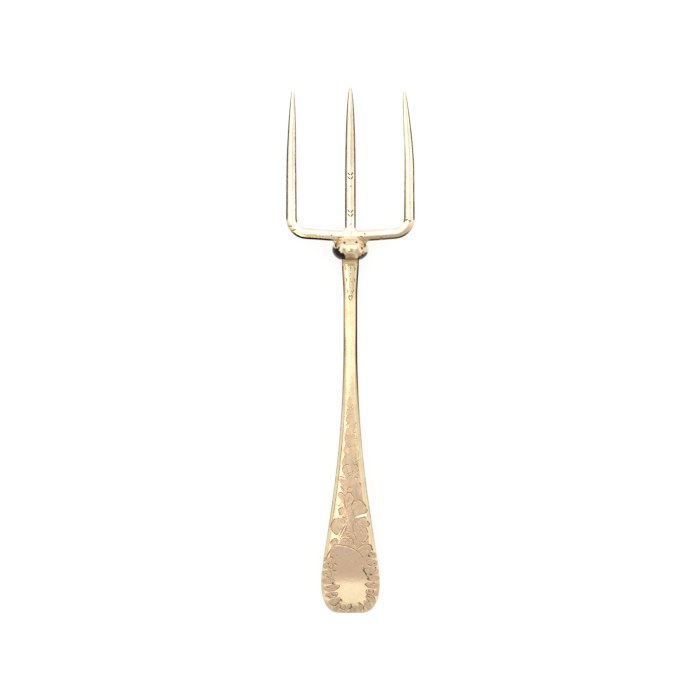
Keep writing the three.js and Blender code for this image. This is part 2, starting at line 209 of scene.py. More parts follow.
# Bright plate of the tines: pale cream, with clear reflections
silver = polishedPlate("polishedSilverPlate", "#f5ebd6", "#e2c8a3", "#e3c6a6", 0.08)
# Plate long unpolished: yellow, and rosy where the metal below begins to show, with a painted pink reflection
# down the blade
warmSilver = polishedPlate("tarnishedSilverPlate", "#d3cba8", "#c9b28c", "#d9b193", 0.06, pinkReflection=True)
# Plate a little browned by handling: a softer, creamier mirror than the tines'
tonedSilver = polishedPlate("tonedSilverPlate", "#efe2c9", "#dac2a0", "#dec4a6", 0.08)
# Plate over hard solder, smeared smooth: it shows light without a clear picture
solder = polishedPlate("platedHardSolder", "#ecdcc0", "#d6b896", "#d9bb9d", 0.16)
# Engraved lines: pale walls over a brown bottom
cutSilver = graverCut("graverCutSilver", "#ead7b8", "#a68a6a", 0.2)
# Leaves filled with many shallow cuts: duller and browner than the polished field
mattedSilver = graverCut("mattedSilver", "#c0a88d", "#b09577", 0.38)
# A cut left clean: it throws the light back white
brightSilver = graverCut("brightCutSilver", "#fff9ea", "#f3e8d0", 0.35)
# Old matting rubbed nearly smooth by use: a faint grey-tan grain
rubbedSilver = graverCut("rubbedMattedSilver", "#c8b290", "#baa07f", 0.3)
print("materials mixed")


# Shared shaping

def measured(places):
    # distance travelled at each place
    travelled = [0.0]
    for before, place in zip(places, places[1:]):
        travelled.append(travelled[-1] + (place - before).length)
    return travelled


def between(travelled, distance):
    # number of the place after the distance, and how far it is on the way there
    i = min(max(bisect.bisect_right(travelled, distance), 1), len(travelled) - 1)
    return i, (distance - travelled[i - 1]) / max(travelled[i] - travelled[i - 1], 1e-9)


def bentPath(corners, radii, step=0.25):
    # straight runs joined by arcs, as places with their headings and the distance travelled
    corners = [Vector(c) for c in corners]
    places, headings = [], []
    start = corners[0]
    for i in range(1, len(corners)):
        heading = (corners[i] - corners[i - 1]).normalized()
        radius = radii[i - 1] if i < len(corners) - 1 else 0
        after = (corners[i + 1] - corners[i]).normalized() if radius else heading
        turn = math.atan2(heading.cross(after), heading.dot(after))
        arcStart = corners[i] - heading * radius * math.tan(abs(turn) / 2)
        pieces = max(1, math.ceil((arcStart - start).length / step))
        for k in range(pieces):
            places.append(start.lerp(arcStart, k / pieces))
            headings.append(heading)
        bends = math.ceil(abs(turn) * radius / step)
        inwards = Vector((-heading.y, heading.x)) * math.copysign(radius, turn)
        for k in range(bends):
            swing = Matrix.Rotation(turn * k / bends, 2)
            places.append(arcStart + inwards - swing @ inwards)
            headings.append(swing @ heading)
        start = corners[i] + after * radius * math.tan(abs(turn) / 2)
    places.append(corners[-1])
    headings.append(heading)
    return places, headings, measured(places)


def along(path, distance):
    places, headings, travelled = path
    i, share = between(travelled, distance)
    return places[i - 1].lerp(places[i], share), headings[i - 1].lerp(headings[i], share).normalized()


def roundSection(corners, steps=6):
    # closed section whose corners, each (across, up, radius), are rounded by arcs
    points = []
    for i, (across, up, radius) in enumerate(corners):
        corner = Vector((across, up))
        into = (corner - Vector(corners[i - 1][:2])).normalized()
        out = (Vector(corners[(i + 1) % len(corners)][:2]) - corner).normalized()
        turn = math.atan2(into.cross(out), into.dot(out))
        inwards = Vector((-into.y, into.x)) * math.copysign(radius, turn)
        centre = corner - into * radius * math.tan(abs(turn) / 2) + inwards
        for k in range(steps + 1):
            points.append(centre - Matrix.Rotation(turn * k / steps, 2) @ inwards)
    return points


def mirrored(half):
    # right half of a section, from the middle of its top round to the middle of its underside
    return half + [(-across, up, radius) for across, up, radius in reversed(half) if across]


def extrudeRing(bm, edges):
    # vertices and edges of the new, open ring
    grown = bmesh.ops.extrude_edge_only(bm, edges=edges)["geom"]
    ring = [part for part in grown if isinstance(part, BMVert)]
    inRing = set(ring)
    return ring, [part for part in grown if isinstance(part, BMEdge) and set(part.verts) <= inRing]


def loft(bm, section, places):
    # one ring of the section, extruded from place to place and closed at both ends
    ring = bmesh.ops.create_circle(bm, segments=len(section), radius=1, cap_ends=True)["verts"]
    for vert, (across, up) in zip(ring, section):
        vert.co = (across, 0, up)
    bmesh.ops.transform(bm, matrix=places[0], verts=ring)
    edges = [edge for edge in bm.edges if edge.verts[0] in set(ring)]
    for before, place in zip(places, places[1:]):
        ring, edges = extrudeRing(bm, edges)
        bmesh.ops.transform(bm, matrix=place @ before.inverted(), verts=ring)
    bmesh.ops.edgeloop_fill(bm, edges=edges)
    bmesh.ops.recalc_face_normals(bm, faces=bm.faces)


def axes(across, run, up, origin):
    matrix = Matrix((across, run, up)).transposed().to_4x4()
    matrix.translation = origin
    return matrix


def finishPiece(name, bm, node, materials):
    bmesh.ops.remove_doubles(bm, verts=bm.verts, dist=1e-5)
    bmesh.ops.recalc_face_normals(bm, faces=bm.faces)
    for face in bm.faces:
        face.smooth = True
    mesh = bpy.data.meshes.new(name)
    bm.to_mesh(mesh)
    bm.free()
    piece = bpy.data.objects.new(name, mesh)
    scene.collection.objects.link(piece)
    for material in materials:
        mesh.materials.append(material)
    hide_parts(node)
    return piece


def ramp(value, start, stop):
    # eased from 0 at the start to 1 at the stop
    share = min(1, max(0, (value - start) / (stop - start)))
    return share * share * (3 - 2 * share)


def paintShade(piece, strengthAt):
    marks = piece.data.attributes.get("tarnishAndPaintedShade") or piece.data.attributes.new("tarnishAndPaintedShade", "FLOAT", "POINT")
    for vert, mark in zip(piece.data.vertices, marks.data):
        mark.value = max(mark.value, strengthAt(vert))


ragged = ((0.25, 0.9), (0.4, 2.3))  # edges of a painted dark place: how much, and how many waves to a mm


def spotted(spots):
    # painted dark places, as seen from above
    def strengthAt(vert):
        shift = sum(much * noise.noise(vert.co * fine) for much, fine in ragged) / 2
        return max(strength * ramp((vert.co.xy - Vector(centre)).length / reach, 1 + shift, 0.5 + shift)
                   for centre, reach, strength in spots)
    return strengthAt


def setInFrame(piece):
    piece.data.transform(toFrame)
    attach(piece, "root")
    print(piece.name, len(piece.data.polygons), "faces")


# Engraving: each stroke is a V-shaped graver cut, one wall shallow and bright, the other steep and dark

# where each finish stands in a piece's list of materials
plateFinish, cutFinish, mattedFinish, brightFinish, rubbedFinish = range(5)
graver = {
    "shallowShare": 0.6,    # of a cut's width
    "lip": 0.6,             # how far the cutter stands out of the surface, as a share of the cut's depth
    "depth": 0.26,          # of a cut over its width
    "step": 0.3,
    "smoothing": 12,        # steps from point to point of a drawn line
    "leastSwell": 0.1,
    "leastFacing": 0.6,     # no cut runs over the rim
    "light": Vector((-0.45, 1, 0)),  # shallow walls are laid to face this way
    "punchTip": 0.02, "punchDepth": 0.7,  # of a mark over its size
    "above": 50,            # height from which the cuts are projected
    "crease": 0.3,          # radians of fold inside a cut that stays crisp
}
down = Vector((0, 0, -1))


def swell(share, thinIn, thinOut):
    rise = min(1, share / thinIn) if thinIn else 1
    fall = min(1, (1 - share) / thinOut) if thinOut else 1
    return max(graver["leastSwell"], math.sin(math.pi / 2 * min(rise, fall)))


def smoothLine(points):
    # evenly spaced places on a smooth curve through the points
    points = [Vector(p) for p in points]
    ends = [2 * points[0] - points[1], *points, 2 * points[-1] - points[-2]]
    dense = []
    for a, b, c, d in zip(ends, ends[1:], ends[2:], ends[3:]):
        for k in range(graver["smoothing"]):
            t = k / graver["smoothing"]
            dense.append(0.5 * (2 * b + (c - a) * t + (2 * a - 5 * b + 4 * c - d) * t * t
                                + (3 * b - a - 3 * c + d) * t ** 3))
    dense.append(points[-1])
    travelled = measured(dense)
    count = max(5, math.ceil(travelled[-1] / graver["step"]))
    line = []
    for k in range(count + 1):
        i, share = between(travelled, travelled[-1] * k / count)
        line.append(dense[i - 1].lerp(dense[i], share))
    return line


def stroke(surface, points, width, thin=(0.35, 0.35), depth=graver["depth"], finish=cutFinish):
    # a mesh of one cut, projected from above on to the surface
    line = smoothLine(points)
    hits = [surface.ray_cast(Vector((p.x, p.y, graver["above"])), down)[:2] for p in line]
    hits = [hit for hit in hits if hit[0] is not None and hit[1].z > graver["leastFacing"]]
    if len(hits) < 4:
        return None
    lip, shallow = graver["lip"], graver["shallowShare"]
    section = [(0, -1), (shallow * (1 + lip), lip), (-(1 - shallow) * (1 + lip), lip)]
    places = []
    for k, (place, normal) in enumerate(hits):
        run = hits[min(k + 1, len(hits) - 1)][0] - hits[max(k - 1, 0)][0]
        run = (run - normal * run.dot(normal)).normalized()
        side = run.cross(normal)
        if k == 0:
            hand = -1 if side.dot(graver["light"]) > 0 else 1
        size = width * swell(k / (len(hits) - 1), *thin)
        places.append(axes(side * hand * size, run, normal * size * depth, place))
    bm = bmesh.new()
    loft(bm, section, places)
    for face in bm.faces:
        face.material_index = finish
    return bm


def dot(surface, centre, size):
    # a conical punch mark
    place, normal = surface.ray_cast(Vector((*centre, graver["above"])), down)[:2]
    if place is None:
        return None
    bm = bmesh.new()
    lean = normal.to_track_quat("Z", "Y").to_matrix().to_4x4()
    bmesh.ops.create_cone(bm, segments=12, radius1=graver["punchTip"] * size, radius2=size, cap_ends=True,
                          depth=graver["punchDepth"] * size, matrix=Matrix.Translation(place) @ lean)
    for face in bm.faces:
        face.material_index = cutFinish
    return bm


def engrave(piece, cuts, dirt):
    group = bpy.data.collections.new("graverCuts")
    for bm in cuts:
        if bm is None:
            continue
        bmesh.ops.recalc_face_normals(bm, faces=bm.faces)
        mesh = bpy.data.meshes.new("graverCut")
        bm.to_mesh(mesh)
        bm.free()
        for material in piece.data.materials:
            mesh.materials.append(material)
        group.objects.link(bpy.data.objects.new("graverCut", mesh))
    cutting = piece.modifiers.new("engraving", "BOOLEAN")
    cutting.solver = "MANIFOLD"
    cutting.operation = "DIFFERENCE"
    cutting.operand_type = "COLLECTION"
    cutting.collection = group
    uncut = piece.data
    piece.data = bpy.data.meshes.new_from_object(piece.evaluated_get(bpy.context.evaluated_depsgraph_get()))
    piece.data.name = piece.name
    piece.modifiers.clear()
    for cutter in list(group.objects):
        bpy.data.meshes.remove(cutter.data)
    bpy.data.collections.remove(group)
    bpy.data.meshes.remove(uncut)
    # cut edges stay crisp, and the polished face keeps its smooth shine
    bm = bmesh.new()
    bm.from_mesh(piece.data)
    for edge in bm.edges:
        kinds = {face.material_index for face in edge.link_faces}
        folded = len(edge.link_faces) == 2 and edge.calc_face_angle() > graver["crease"]
        edge.smooth = kinds == {plateFinish} or (len(kinds) == 1 and not folded)
    for face in bm.faces:
        face.smooth = True
    # and dirt stays in the bottom of each line
    tarnishAndPaintedShade = bm.verts.layers.float.get("tarnishAndPaintedShade") or bm.verts.layers.float.new("tarnishAndPaintedShade")
    for vert in bm.verts:
        if {face.material_index for face in vert.link_faces} == {cutFinish}:
            vert[tarnishAndPaintedShade] = max(vert[tarnishAndPaintedShade], dirt)
    bm.to_mesh(piece.data)
    bm.free()
    print(piece.name, "engraved")


# Knop: a turned bun, flat under the stem, with its two punched pits

knop = {
    "radius": 7.0,
    "half": 4.8,
    "seatRadius": 4.2,
    "pits": ((-2.3, 2.5), (2.3, 2.7)),
    "pitSize": 1.15,
    "dirt": 0.4,
    "tarnishAndPaintedShade": (  # painted dark reflections and painted shade, and darkening inside the two pits: centre, reach and strength
        ((-6.7, -0.5), 1.6, 1.0), ((-5.7, -1.7), 1.9, 1.0), ((-4.3, -2.6), 1.8, 1.0),
        ((-2.9, -3.1), 1.5, 1.0), ((-6.2, -3.0), 2.2, 1.0), ((-4.7, -1.5), 1.4, 1.0),
        ((-3.2, -2.3), 1.2, 1.0),
        ((6.1, -2.0), 1.2, 0.95), ((5.0, -3.0), 1.5, 1.0), ((3.7, -3.6), 1.2, 1.0), ((3.6, -2.2), 1.3, 0.4),
        ((4.9, -1.2), 0.9, 0.35), ((-5.1, -0.3), 1.0, 0.9), ((-7.1, 0.7), 1.0, 0.9), ((0, -3.4), 3.0, 0.4),
        ((0, -1.4), 2.4, 0.32), ((0, 0.5), 0.8, 0.2), ((-2.2, -0.6), 1.4, 0.34), ((2.4, -0.8), 1.4, 0.3),
        ((-4.6, 1.4), 1.6, 0.25), ((4.4, 1.2), 1.4, 0.2),
        ((-2.3, 2.5), 0.55, 0.9), ((2.3, 2.7), 0.55, 0.9)),
}
seatDrop = knop["half"] * math.sqrt(1 - (knop["seatRadius"] / knop["radius"]) ** 2)
knopLow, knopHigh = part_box("knop")
knopCentre = Vector((0, knopLow.y + seatDrop * mm, (knopLow.z + knopHigh.z) / 2))
toFrame = Matrix.Translation(knopCentre) @ Matrix.Scale(mm, 4)


def makeKnop():
    bm = bmesh.new()
    bmesh.ops.create_uvsphere(bm, u_segments=96, v_segments=56, radius=1)
    bmesh.ops.rotate(bm, verts=bm.verts, matrix=Matrix.Rotation(math.pi / 2, 3, "X"))
    bmesh.ops.scale(bm, verts=bm.verts, vec=(knop["radius"], knop["half"], knop["radius"]))
    cut = bmesh.ops.bisect_plane(bm, geom=[*bm.verts, *bm.edges, *bm.faces], plane_co=(0, -seatDrop, 0),
                                 plane_no=(0, -1, 0), clear_outer=True)["geom_cut"]
    bmesh.ops.edgeloop_fill(bm, edges=[part for part in cut if isinstance(part, BMEdge)])
    surface = BVHTree.FromBMesh(bm)
    piece = finishPiece("bunKnop", bm, "knop", [tonedSilver, cutSilver])
    cuts = [dot(surface, centre, knop["pitSize"]) for centre in knop["pits"]]
    engrave(piece, cuts, knop["dirt"])
    # painted dark reflections and shade on the knop, and darkening inside its pits
    paintShade(piece, spotted(knop["tarnishAndPaintedShade"]))
    setInFrame(piece)


# Rod of the tines and the crossbar: a crowned top with filed chamfers

rod = {
    "width": 4.1,
    "depth": 3.7,
    "topHalf": 1.36,
    "crown": 0.28,
    "chamferDrop": 0.54,
    "underHalf": 1.2,
    "underEdge": -0.95,
    "saddle": 1.8,        # how deep the crossbar is let into the knop
    "rounding": (5.5, 0.25, 0.12, 0.6, 0.6),  # from the crown round to the underside
    "pointLand": 0.15,
    "tipRise": 4.0,
    "hammered": 0.02,     # how unevenly it was drawn out
    "waves": (0.2, 0.16),  # of that, to a mm across and along
    "step": 0.6,
}
barMiddle = knop["half"] - rod["saddle"] + rod["width"] / 2
barTop = barMiddle + rod["width"] / 2


def rodSection(size=1.0):
    top = rod["depth"] / 2
    shoulder = top - rod["crown"]
    half = [
        (0, top),
        (rod["topHalf"], shoulder),
        (rod["width"] / 2, shoulder - rod["chamferDrop"]),
        (rod["width"] / 2, rod["underEdge"]),
        (rod["underHalf"], -top),
    ]
    corners = [(*place, radius) for place, radius in zip(half, rod["rounding"])]
    return [point * size for point in roundSection(mirrored(corners))]


def pointShare(distance, taper):
    share = min(1, (distance + rod["pointLand"]) / (taper + rod["pointLand"]))
    return math.sin(math.pi / 2 * math.sqrt(share))


def rodPlace(place, heading, share, tipHeight, tilt=0.0):
    # tilt turns the top of the rod a little towards +X
    rise = max(0, (place.y - barTop) / (tipHeight - barTop))
    slope = 2 * rod["tipRise"] * rise / (tipHeight - barTop)
    run = Vector((heading.x, heading.y, heading.y * slope)).normalized()
    up = run.cross(Vector((0, 0, 1)).cross(run)).normalized()
    up = (up + Vector((math.tan(tilt), 0, 0))).normalized()
    across = run.cross(up).normalized()
    sideWaves, longWaves = rod["waves"]
    hammered = 1 + rod["hammered"] * noise.noise(Vector((place.x * sideWaves, place.y * longWaves, 3.7)))
    return axes(across * share * hammered, run, across.cross(run) * share,
                Vector((place.x, place.y, rod["tipRise"] * rise ** 2)))


def tipStations(taper):
    # distances from a point, close together where it is sharp
    close = [0, 0.06, 0.15, 0.3, 0.5, 0.75, 1.05, 1.4]
    step = rod["step"]
    return close + [close[-1] + step * k for k in range(1, int((taper - close[-1]) / step))]


# Yoke: crossbar and outer tines bent from one rod

yoke = {
    "pitch": 22.5,
    "leanStart": 30.0,
    "leanRadius": 150.0,
    "bow": 1.4,
    "barRadius": 120.0,
    "bendRadius": 6.0,
    "taper": 54.0,
    "tiltOver": 12.0,     # height over which a tine takes up its tilt
    "left": {"length": 55.5, "lean": 0.6, "tilt": 0.0},
    "right": {"length": 55.2, "lean": 2.0, "tilt": 0.03},
    # graver marks: place, and how far they run
    "nicks": ((-22.6, 8.8, 1.6, 0.3), (-21.4, 7.3, 1.5, 0.4), (21.4, 11.2, 1.4, 0.5), (22.6, 10.8, 1.5, -0.3),
              (-7.2, 5.2, 0.5, 0.9), (-4.2, 4.4, 0.9, 0.5), (4.0, 4.8, 0.9, -0.4), (5.4, 5.9, 0.8, -0.6),
              (11.8, 4.3, 0.3, 0.7)),
    "nickWidth": 0.6, "nickDepth": 0.34, "nickBow": 0.1, "dirt": 0.7,
}
# painted shade and painted dark reflections on the rod, with tan towards the points: how strong, and from
# where to where it grows
rodPaintedShade = {
    "outerPoint": 0.08,
    "centrePoint": 0.16,
    "pointFrom": (14.0, 28.0),   # tan above the crossbar, towards the points
    "left": 0.2,
    "leftTurn": (0.02, 0.16),    # painted shade: brown sides of the tines that face left
    "low": 0.36,
    "lowTurn": (-0.05, 0.09),    # painted shade: brown lower half of the crossbar
    "lowFrom": (1.5, 4.5),       # away from the centre line
    "underLeft": 0.9,
    "underRight": 0.75,
    "underTurn": (0.28, 0.53),   # painted dark reflection: black underside of the crossbar
    "underFrom": (5.5, 8.0),     # away from the knop, which would mirror it
}


def rodShadeAt(vert):
    aboveBar = vert.co.y - barTop
    aside = abs(vert.co.x)
    upright = ramp(aboveBar, 0, yoke["bendRadius"])
    point = rodPaintedShade["centrePoint" if aside < rod["width"] else "outerPoint"]
    point *= ramp(aboveBar, *rodPaintedShade["pointFrom"])
    # painted shade on the sides that face left and tan towards the points; painted shade and black dark
    # reflection under the crossbar
    side = max(point, rodPaintedShade["left"] * ramp(-vert.normal.x, *rodPaintedShade["leftTurn"]))
    low = rodPaintedShade["low"] * ramp(-vert.normal.y, *rodPaintedShade["lowTurn"]) * ramp(aside, *rodPaintedShade["lowFrom"])
    under = rodPaintedShade["underLeft" if vert.co.x < 0 else "underRight"] * ramp(aside, *rodPaintedShade["underFrom"])
    under *= ramp(-vert.normal.y, *rodPaintedShade["underTurn"])
    return upright * side + (1 - upright) * max(low, under)


def makeYoke():
    left, right = yoke["left"], yoke["right"]
    pitch = yoke["pitch"]
    bend = math.atan(yoke["bow"] / pitch)
    corners = [
        (-pitch + left["lean"], barMiddle + left["length"]),
        (-pitch, barMiddle + yoke["leanStart"]),
        (-pitch, barMiddle + yoke["bow"]),
        (0, barMiddle - yoke["barRadius"] * (1 / math.cos(bend) - 1)),
        (pitch, barMiddle + yoke["bow"]),
        (pitch, barMiddle + yoke["leanStart"]),
        (pitch - right["lean"], barMiddle + right["length"]),
    ]
    path = bentPath(corners, [yoke["leanRadius"], yoke["bendRadius"], yoke["barRadius"],
                              yoke["bendRadius"], yoke["leanRadius"]])
    total = path[2][-1]
    ends = tipStations(yoke["taper"])
    inner = total - 2 * ends[-1]
    middle = [ends[-1] + rod["step"] * k for k in range(1, int(inner / rod["step"]))]
    stations = [*ends, *middle, *[total - d for d in reversed(ends)]]
    places = []
    for distance in stations:
        hand = left if distance < total / 2 else right
        place, heading = along(path, distance)
        fromTip = min(distance, total - distance)
        upright = min(1, max(0, (place.y - barTop) / yoke["tiltOver"]))
        places.append(rodPlace(place, heading, pointShare(fromTip, yoke["taper"]),
                               barMiddle + hand["length"], hand["tilt"] * upright))
    bm = bmesh.new()
    loft(bm, rodSection(), places)
    surface = BVHTree.FromBMesh(bm)
    piece = finishPiece("bentYoke", bm, "yoke", [silver, cutSilver])
    cuts = []
    for x, y, dx, dy in yoke["nicks"]:
        line = [(x - dx / 2, y - dy / 2), (x, y + yoke["nickBow"]), (x + dx / 2, y + dy / 2)]
        cuts.append(stroke(surface, line, yoke["nickWidth"], depth=yoke["nickDepth"]))
    engrave(piece, cuts, yoke["dirt"])
    # painted shade and dark reflections on the yoke
    paintShade(piece, rodShadeAt)
    setInFrame(piece)


# Centre tine: stands on the crossbar, with chevrons cut near its foot

centreTine = {
    "length": 56.5,
    "taper": 38.0,
    "slim": 0.995,             # keeps its foot inside the crossbar
    "step": 0.8,
    "chevrons": (24.0, 9.8),   # heights above the crossbar's middle
    "chevronGap": 1.5,
    "arm": ((0.1, -0.9), (0.6, -0.3), (1.0, 0.4)),  # right half of a chevron
    "dots": ((0.1, 19.0), (0.1, 4.6)),
    "cutWidth": 0.6, "cutDepth": 0.36, "dotSize": 0.7, "dirt": 0.85,
}


def makeCentreTine():
    tip = barMiddle + centreTine["length"]
    ends = tipStations(centreTine["taper"])
    shank = centreTine["length"] - ends[-1]
    steps = math.ceil(shank / centreTine["step"])
    stations = ends + [ends[-1] + shank * k / steps for k in range(1, steps + 1)]
    heading = Vector((0, 1))
    places = [rodPlace(Vector((0, tip - distance)), heading, pointShare(distance, centreTine["taper"]), tip)
              for distance in reversed(stations)]
    bm = bmesh.new()
    loft(bm, rodSection(centreTine["slim"]), places)
    surface = BVHTree.FromBMesh(bm)
    piece = finishPiece("centreTine", bm, "centre_tine", [silver, cutSilver])
    cuts = []
    for height in centreTine["chevrons"]:
        for drop in (0, centreTine["chevronGap"]):
            y = barMiddle + height - drop
            for side in (-1, 1):
                line = [(side * across, y + rise) for across, rise in centreTine["arm"]]
                cuts.append(stroke(surface, line, centreTine["cutWidth"], depth=centreTine["cutDepth"]))
    for across, height in centreTine["dots"]:
        cuts.append(dot(surface, (across, barMiddle + height), centreTine["dotSize"]))
    engrave(piece, cuts, centreTine["dirt"])
    # painted shade and dark reflections on the centre tine
    paintShade(piece, rodShadeAt)
    setInFrame(piece)


# Solder webs in the corners: short bends of a flattened rod, whose hollow side shows

web = {
    "tine": {"radius": 1.2, "size": 0.45, "height": 0.94},
    # the saddle webs carry an even painted shade, as in the shadow of their corners
    "saddle": {"radius": 0.8, "size": 0.5, "height": 0.4, "tarnishAndPaintedShade": 0.4},
    "steps": 16,
}


def makeWeb(name, node, kind, centre, fromAngle, toAngle):
    bm = bmesh.new()
    reach = kind["radius"] + kind["size"] * rod["width"] / 2
    places = []
    for k in range(web["steps"] + 1):
        angle = fromAngle + (toAngle - fromAngle) * k / web["steps"]
        out = Vector((math.cos(angle), math.sin(angle), 0))
        run = Vector((-out.y, out.x, 0))
        places.append(axes(out, run, Vector((0, 0, 1)), Vector((*centre, 0)) + out * reach))
    loft(bm, [Vector((p.x * kind["size"], p.y * kind["height"])) for p in rodSection()], places)
    piece = finishPiece(name, bm, node, [solder])
    # painted shade over the whole web, where one is given
    if "tarnishAndPaintedShade" in kind:
        paintShade(piece, lambda vert: kind["tarnishAndPaintedShade"])
    setInFrame(piece)


def makeWebs():
    tine, saddle = web["tine"], web["saddle"]
    r = saddle["radius"]
    bowHere = knop["radius"] ** 2 / (2 * yoke["barRadius"])
    saddleY = barMiddle - rod["width"] / 2 + bowHere - r
    saddleX = (knop["radius"] + r) * math.sqrt(1 - (saddleY / (knop["half"] + r)) ** 2)
    tineX, tineY = rod["width"] / 2 + tine["radius"], barTop + tine["radius"]
    quarter = math.pi / 2
    makeWeb("tineSolderLeft", "tine_fillet_left", tine, (-tineX, tineY), 0, -quarter)
    makeWeb("tineSolderRight", "tine_fillet_right", tine, (tineX, tineY), 2 * quarter, 3 * quarter)
    makeWeb("saddleSolderLeft", "saddle_fillet_left", saddle, (-saddleX, saddleY), 0, quarter)
    makeWeb("saddleSolderRight", "saddle_fillet_right", saddle, (saddleX, saddleY), 2 * quarter, quarter)


# Handle: a flat blank with bevelled edges, thinned to its end and then set to its bends

handle = {
    "length": 134.7,
    "seatGap": 0.3,
    "sunk": 2.8,             # neck inside the knop, longer than its bevels are wide
    "neckWidth": 6.5, "neckLength": 16.0, "neckThickness": 4.2,
    "stemWidth": 5.2, "stemLength": 14.5,
    "bladeWidth": 22.4, "bladeThickness": 2.7,
    "endLength": 12.5, "endFlat": 8.6, "endThickness": 2.1,
    "slender": 0.55, "full": 0.12, "square": 0.62,
    "rampFoot": 12.0, "crestStart": 58.0, "crestEnd": 114.0, "crestRise": 3.5,
    "rampRadius": 120.0, "crestRadius": 400.0, "downturnRadius": 95.0,
    "crownRadius": 130.0,
    # from and to these slopes, radius of the rounding or width of the flat, steps
    "edge": ((90, 31, 0.3, 4), (31, 31, 0.8, 2), (31, 11, 1.4, 5), (11, 11, 0.5, 2), (11, 0, 1.6, 3)),
    "endEdge": (0.05, 30.0),  # share of the bevels' depth left at the end, and how far back they are cut full
    "neckEdge": (0.45, 85.0, 115.0),  # share left at the neck, and from where to where they lose the rest
    # painted dark reflection: blackened edges of the stem, over and down from the rim, fading in from the
    # blade
    "rim": {"reach": 1.05, "deep": 0.4, "left": 0.75, "right": 1.35, "fades": (62.0, 104.0)},
    # a faint brown along the right edge of the neck
    "neckRightEdgeBrown": {"strength": 0.05, "from": 112.0, "full": 124.0, "rightEdge": (1.7, 0.7)},
    "backEdge": 0.5,
    "cell": 1.1,             # size of the faces that the blank is cut into before it is bent
    "cellStart": 0.013,      # off the corners of the outline
    "frontLevel": 10.0,      # of the flat blank, well above its back, so that the two can be told apart
}
shoulder = seatDrop + handle["seatGap"]
handleReach = shoulder + handle["length"]


def handlePath():
    endRadius = handle["endThickness"] / 2
    neckBack = -handle["neckThickness"] / 2
    crestBack = neckBack + handle["crestRise"]
    run = handle["length"] - handle["crestEnd"] - endRadius
    drop = crestBack + knop["radius"] - endRadius
    toRounding = math.hypot(run, drop)
    slope = math.atan2(drop, run) + math.asin(endRadius / toRounding)
    descent = math.sqrt(toRounding ** 2 - endRadius ** 2) + endRadius
    crestEnd = Vector((-shoulder - handle["crestEnd"], crestBack))
    corners = [
        (-shoulder + handle["sunk"], neckBack),
        (-shoulder - handle["rampFoot"], neckBack),
        (-shoulder - handle["crestStart"], crestBack),
        crestEnd,
        crestEnd - Vector((math.cos(slope), math.sin(slope))) * descent,
    ]
    return bentPath(corners, [handle["rampRadius"], handle["crestRadius"], handle["downturnRadius"]])


def bezier(a, b, c, d, count):
    points = []
    for k in range(count):
        t = k / count
        points.append((1 - t) ** 3 * Vector(a) + 3 * t * (1 - t) ** 2 * Vector(b)
                      + 3 * t * t * (1 - t) * Vector(c) + t ** 3 * Vector(d))
    return points


def handleOutline(span):
    # right-hand side of the blank: half width against the distance from the end
    neck, stem, blade = (handle[key] / 2 for key in ("neckWidth", "stemWidth", "bladeWidth"))
    flat = handle["endFlat"] / 2
    endLength = handle["endLength"]
    neckTop = span - handle["sunk"]
    neckEnd = neckTop - handle["neckLength"]
    stemEnd = neckEnd - handle["stemLength"]
    flare = stemEnd - endLength
    square = handle["square"]
    line = [Vector((neck, span))]
    line += bezier((neck, neckTop), (neck, neckTop - handle["neckLength"] / 3),
                   (stem, neckEnd + handle["neckLength"] / 2), (stem, neckEnd), 22)
    line += bezier((stem, neckEnd), (stem, neckEnd - handle["stemLength"] / 3),
                   (stem, stemEnd + handle["stemLength"] / 3), (stem, stemEnd), 16)
    line += bezier((stem, stemEnd), (stem, stemEnd - handle["slender"] * flare),
                   (blade, endLength + handle["full"] * flare), (blade, endLength), 110)
    line += bezier((blade, endLength), (blade, endLength * (1 - square)),
                   (flat + square * (blade - flat), 0), (flat, 0), 40)
    line += [Vector((flat * (1 - k / 12), 0)) for k in range(12)]
    return line


def edgeProfile():
    # (inset, rise) from the outline to the field
    steps = []
    for start, end, size, count in handle["edge"]:
        for k in range(count):
            a, b = (math.radians(start + (end - start) * j / count) for j in (k, k + 1))
            if start == end:
                steps.append((size / count, size / count * math.tan(a)))
            else:
                steps.append((size * (math.sin(a) - math.sin(b)), size * (math.cos(b) - math.cos(a))))
    return steps


def cutCells(bm, face, span):
    # the field is cut crosswise and lengthwise, so that it can bend
    cell = handle["cell"]
    parts = {face}
    half = math.floor(handle["bladeWidth"] / 2)
    for axis, (start, stop) in (((0, 1, 0), (0, span)), ((1, 0, 0), (-half, half))):
        for k in range(math.ceil((stop - start) / cell)):
            at = Vector(axis) * (start + handle["cellStart"] + cell * k)
            geom = [*parts, *{e for f in parts for e in f.edges}, *{v for f in parts for v in f.verts}]
            cut = bmesh.ops.bisect_plane(bm, geom=geom, plane_co=at, plane_no=axis, dist=1e-4)["geom"]
            parts |= {part for part in cut if isinstance(part, BMFace)}


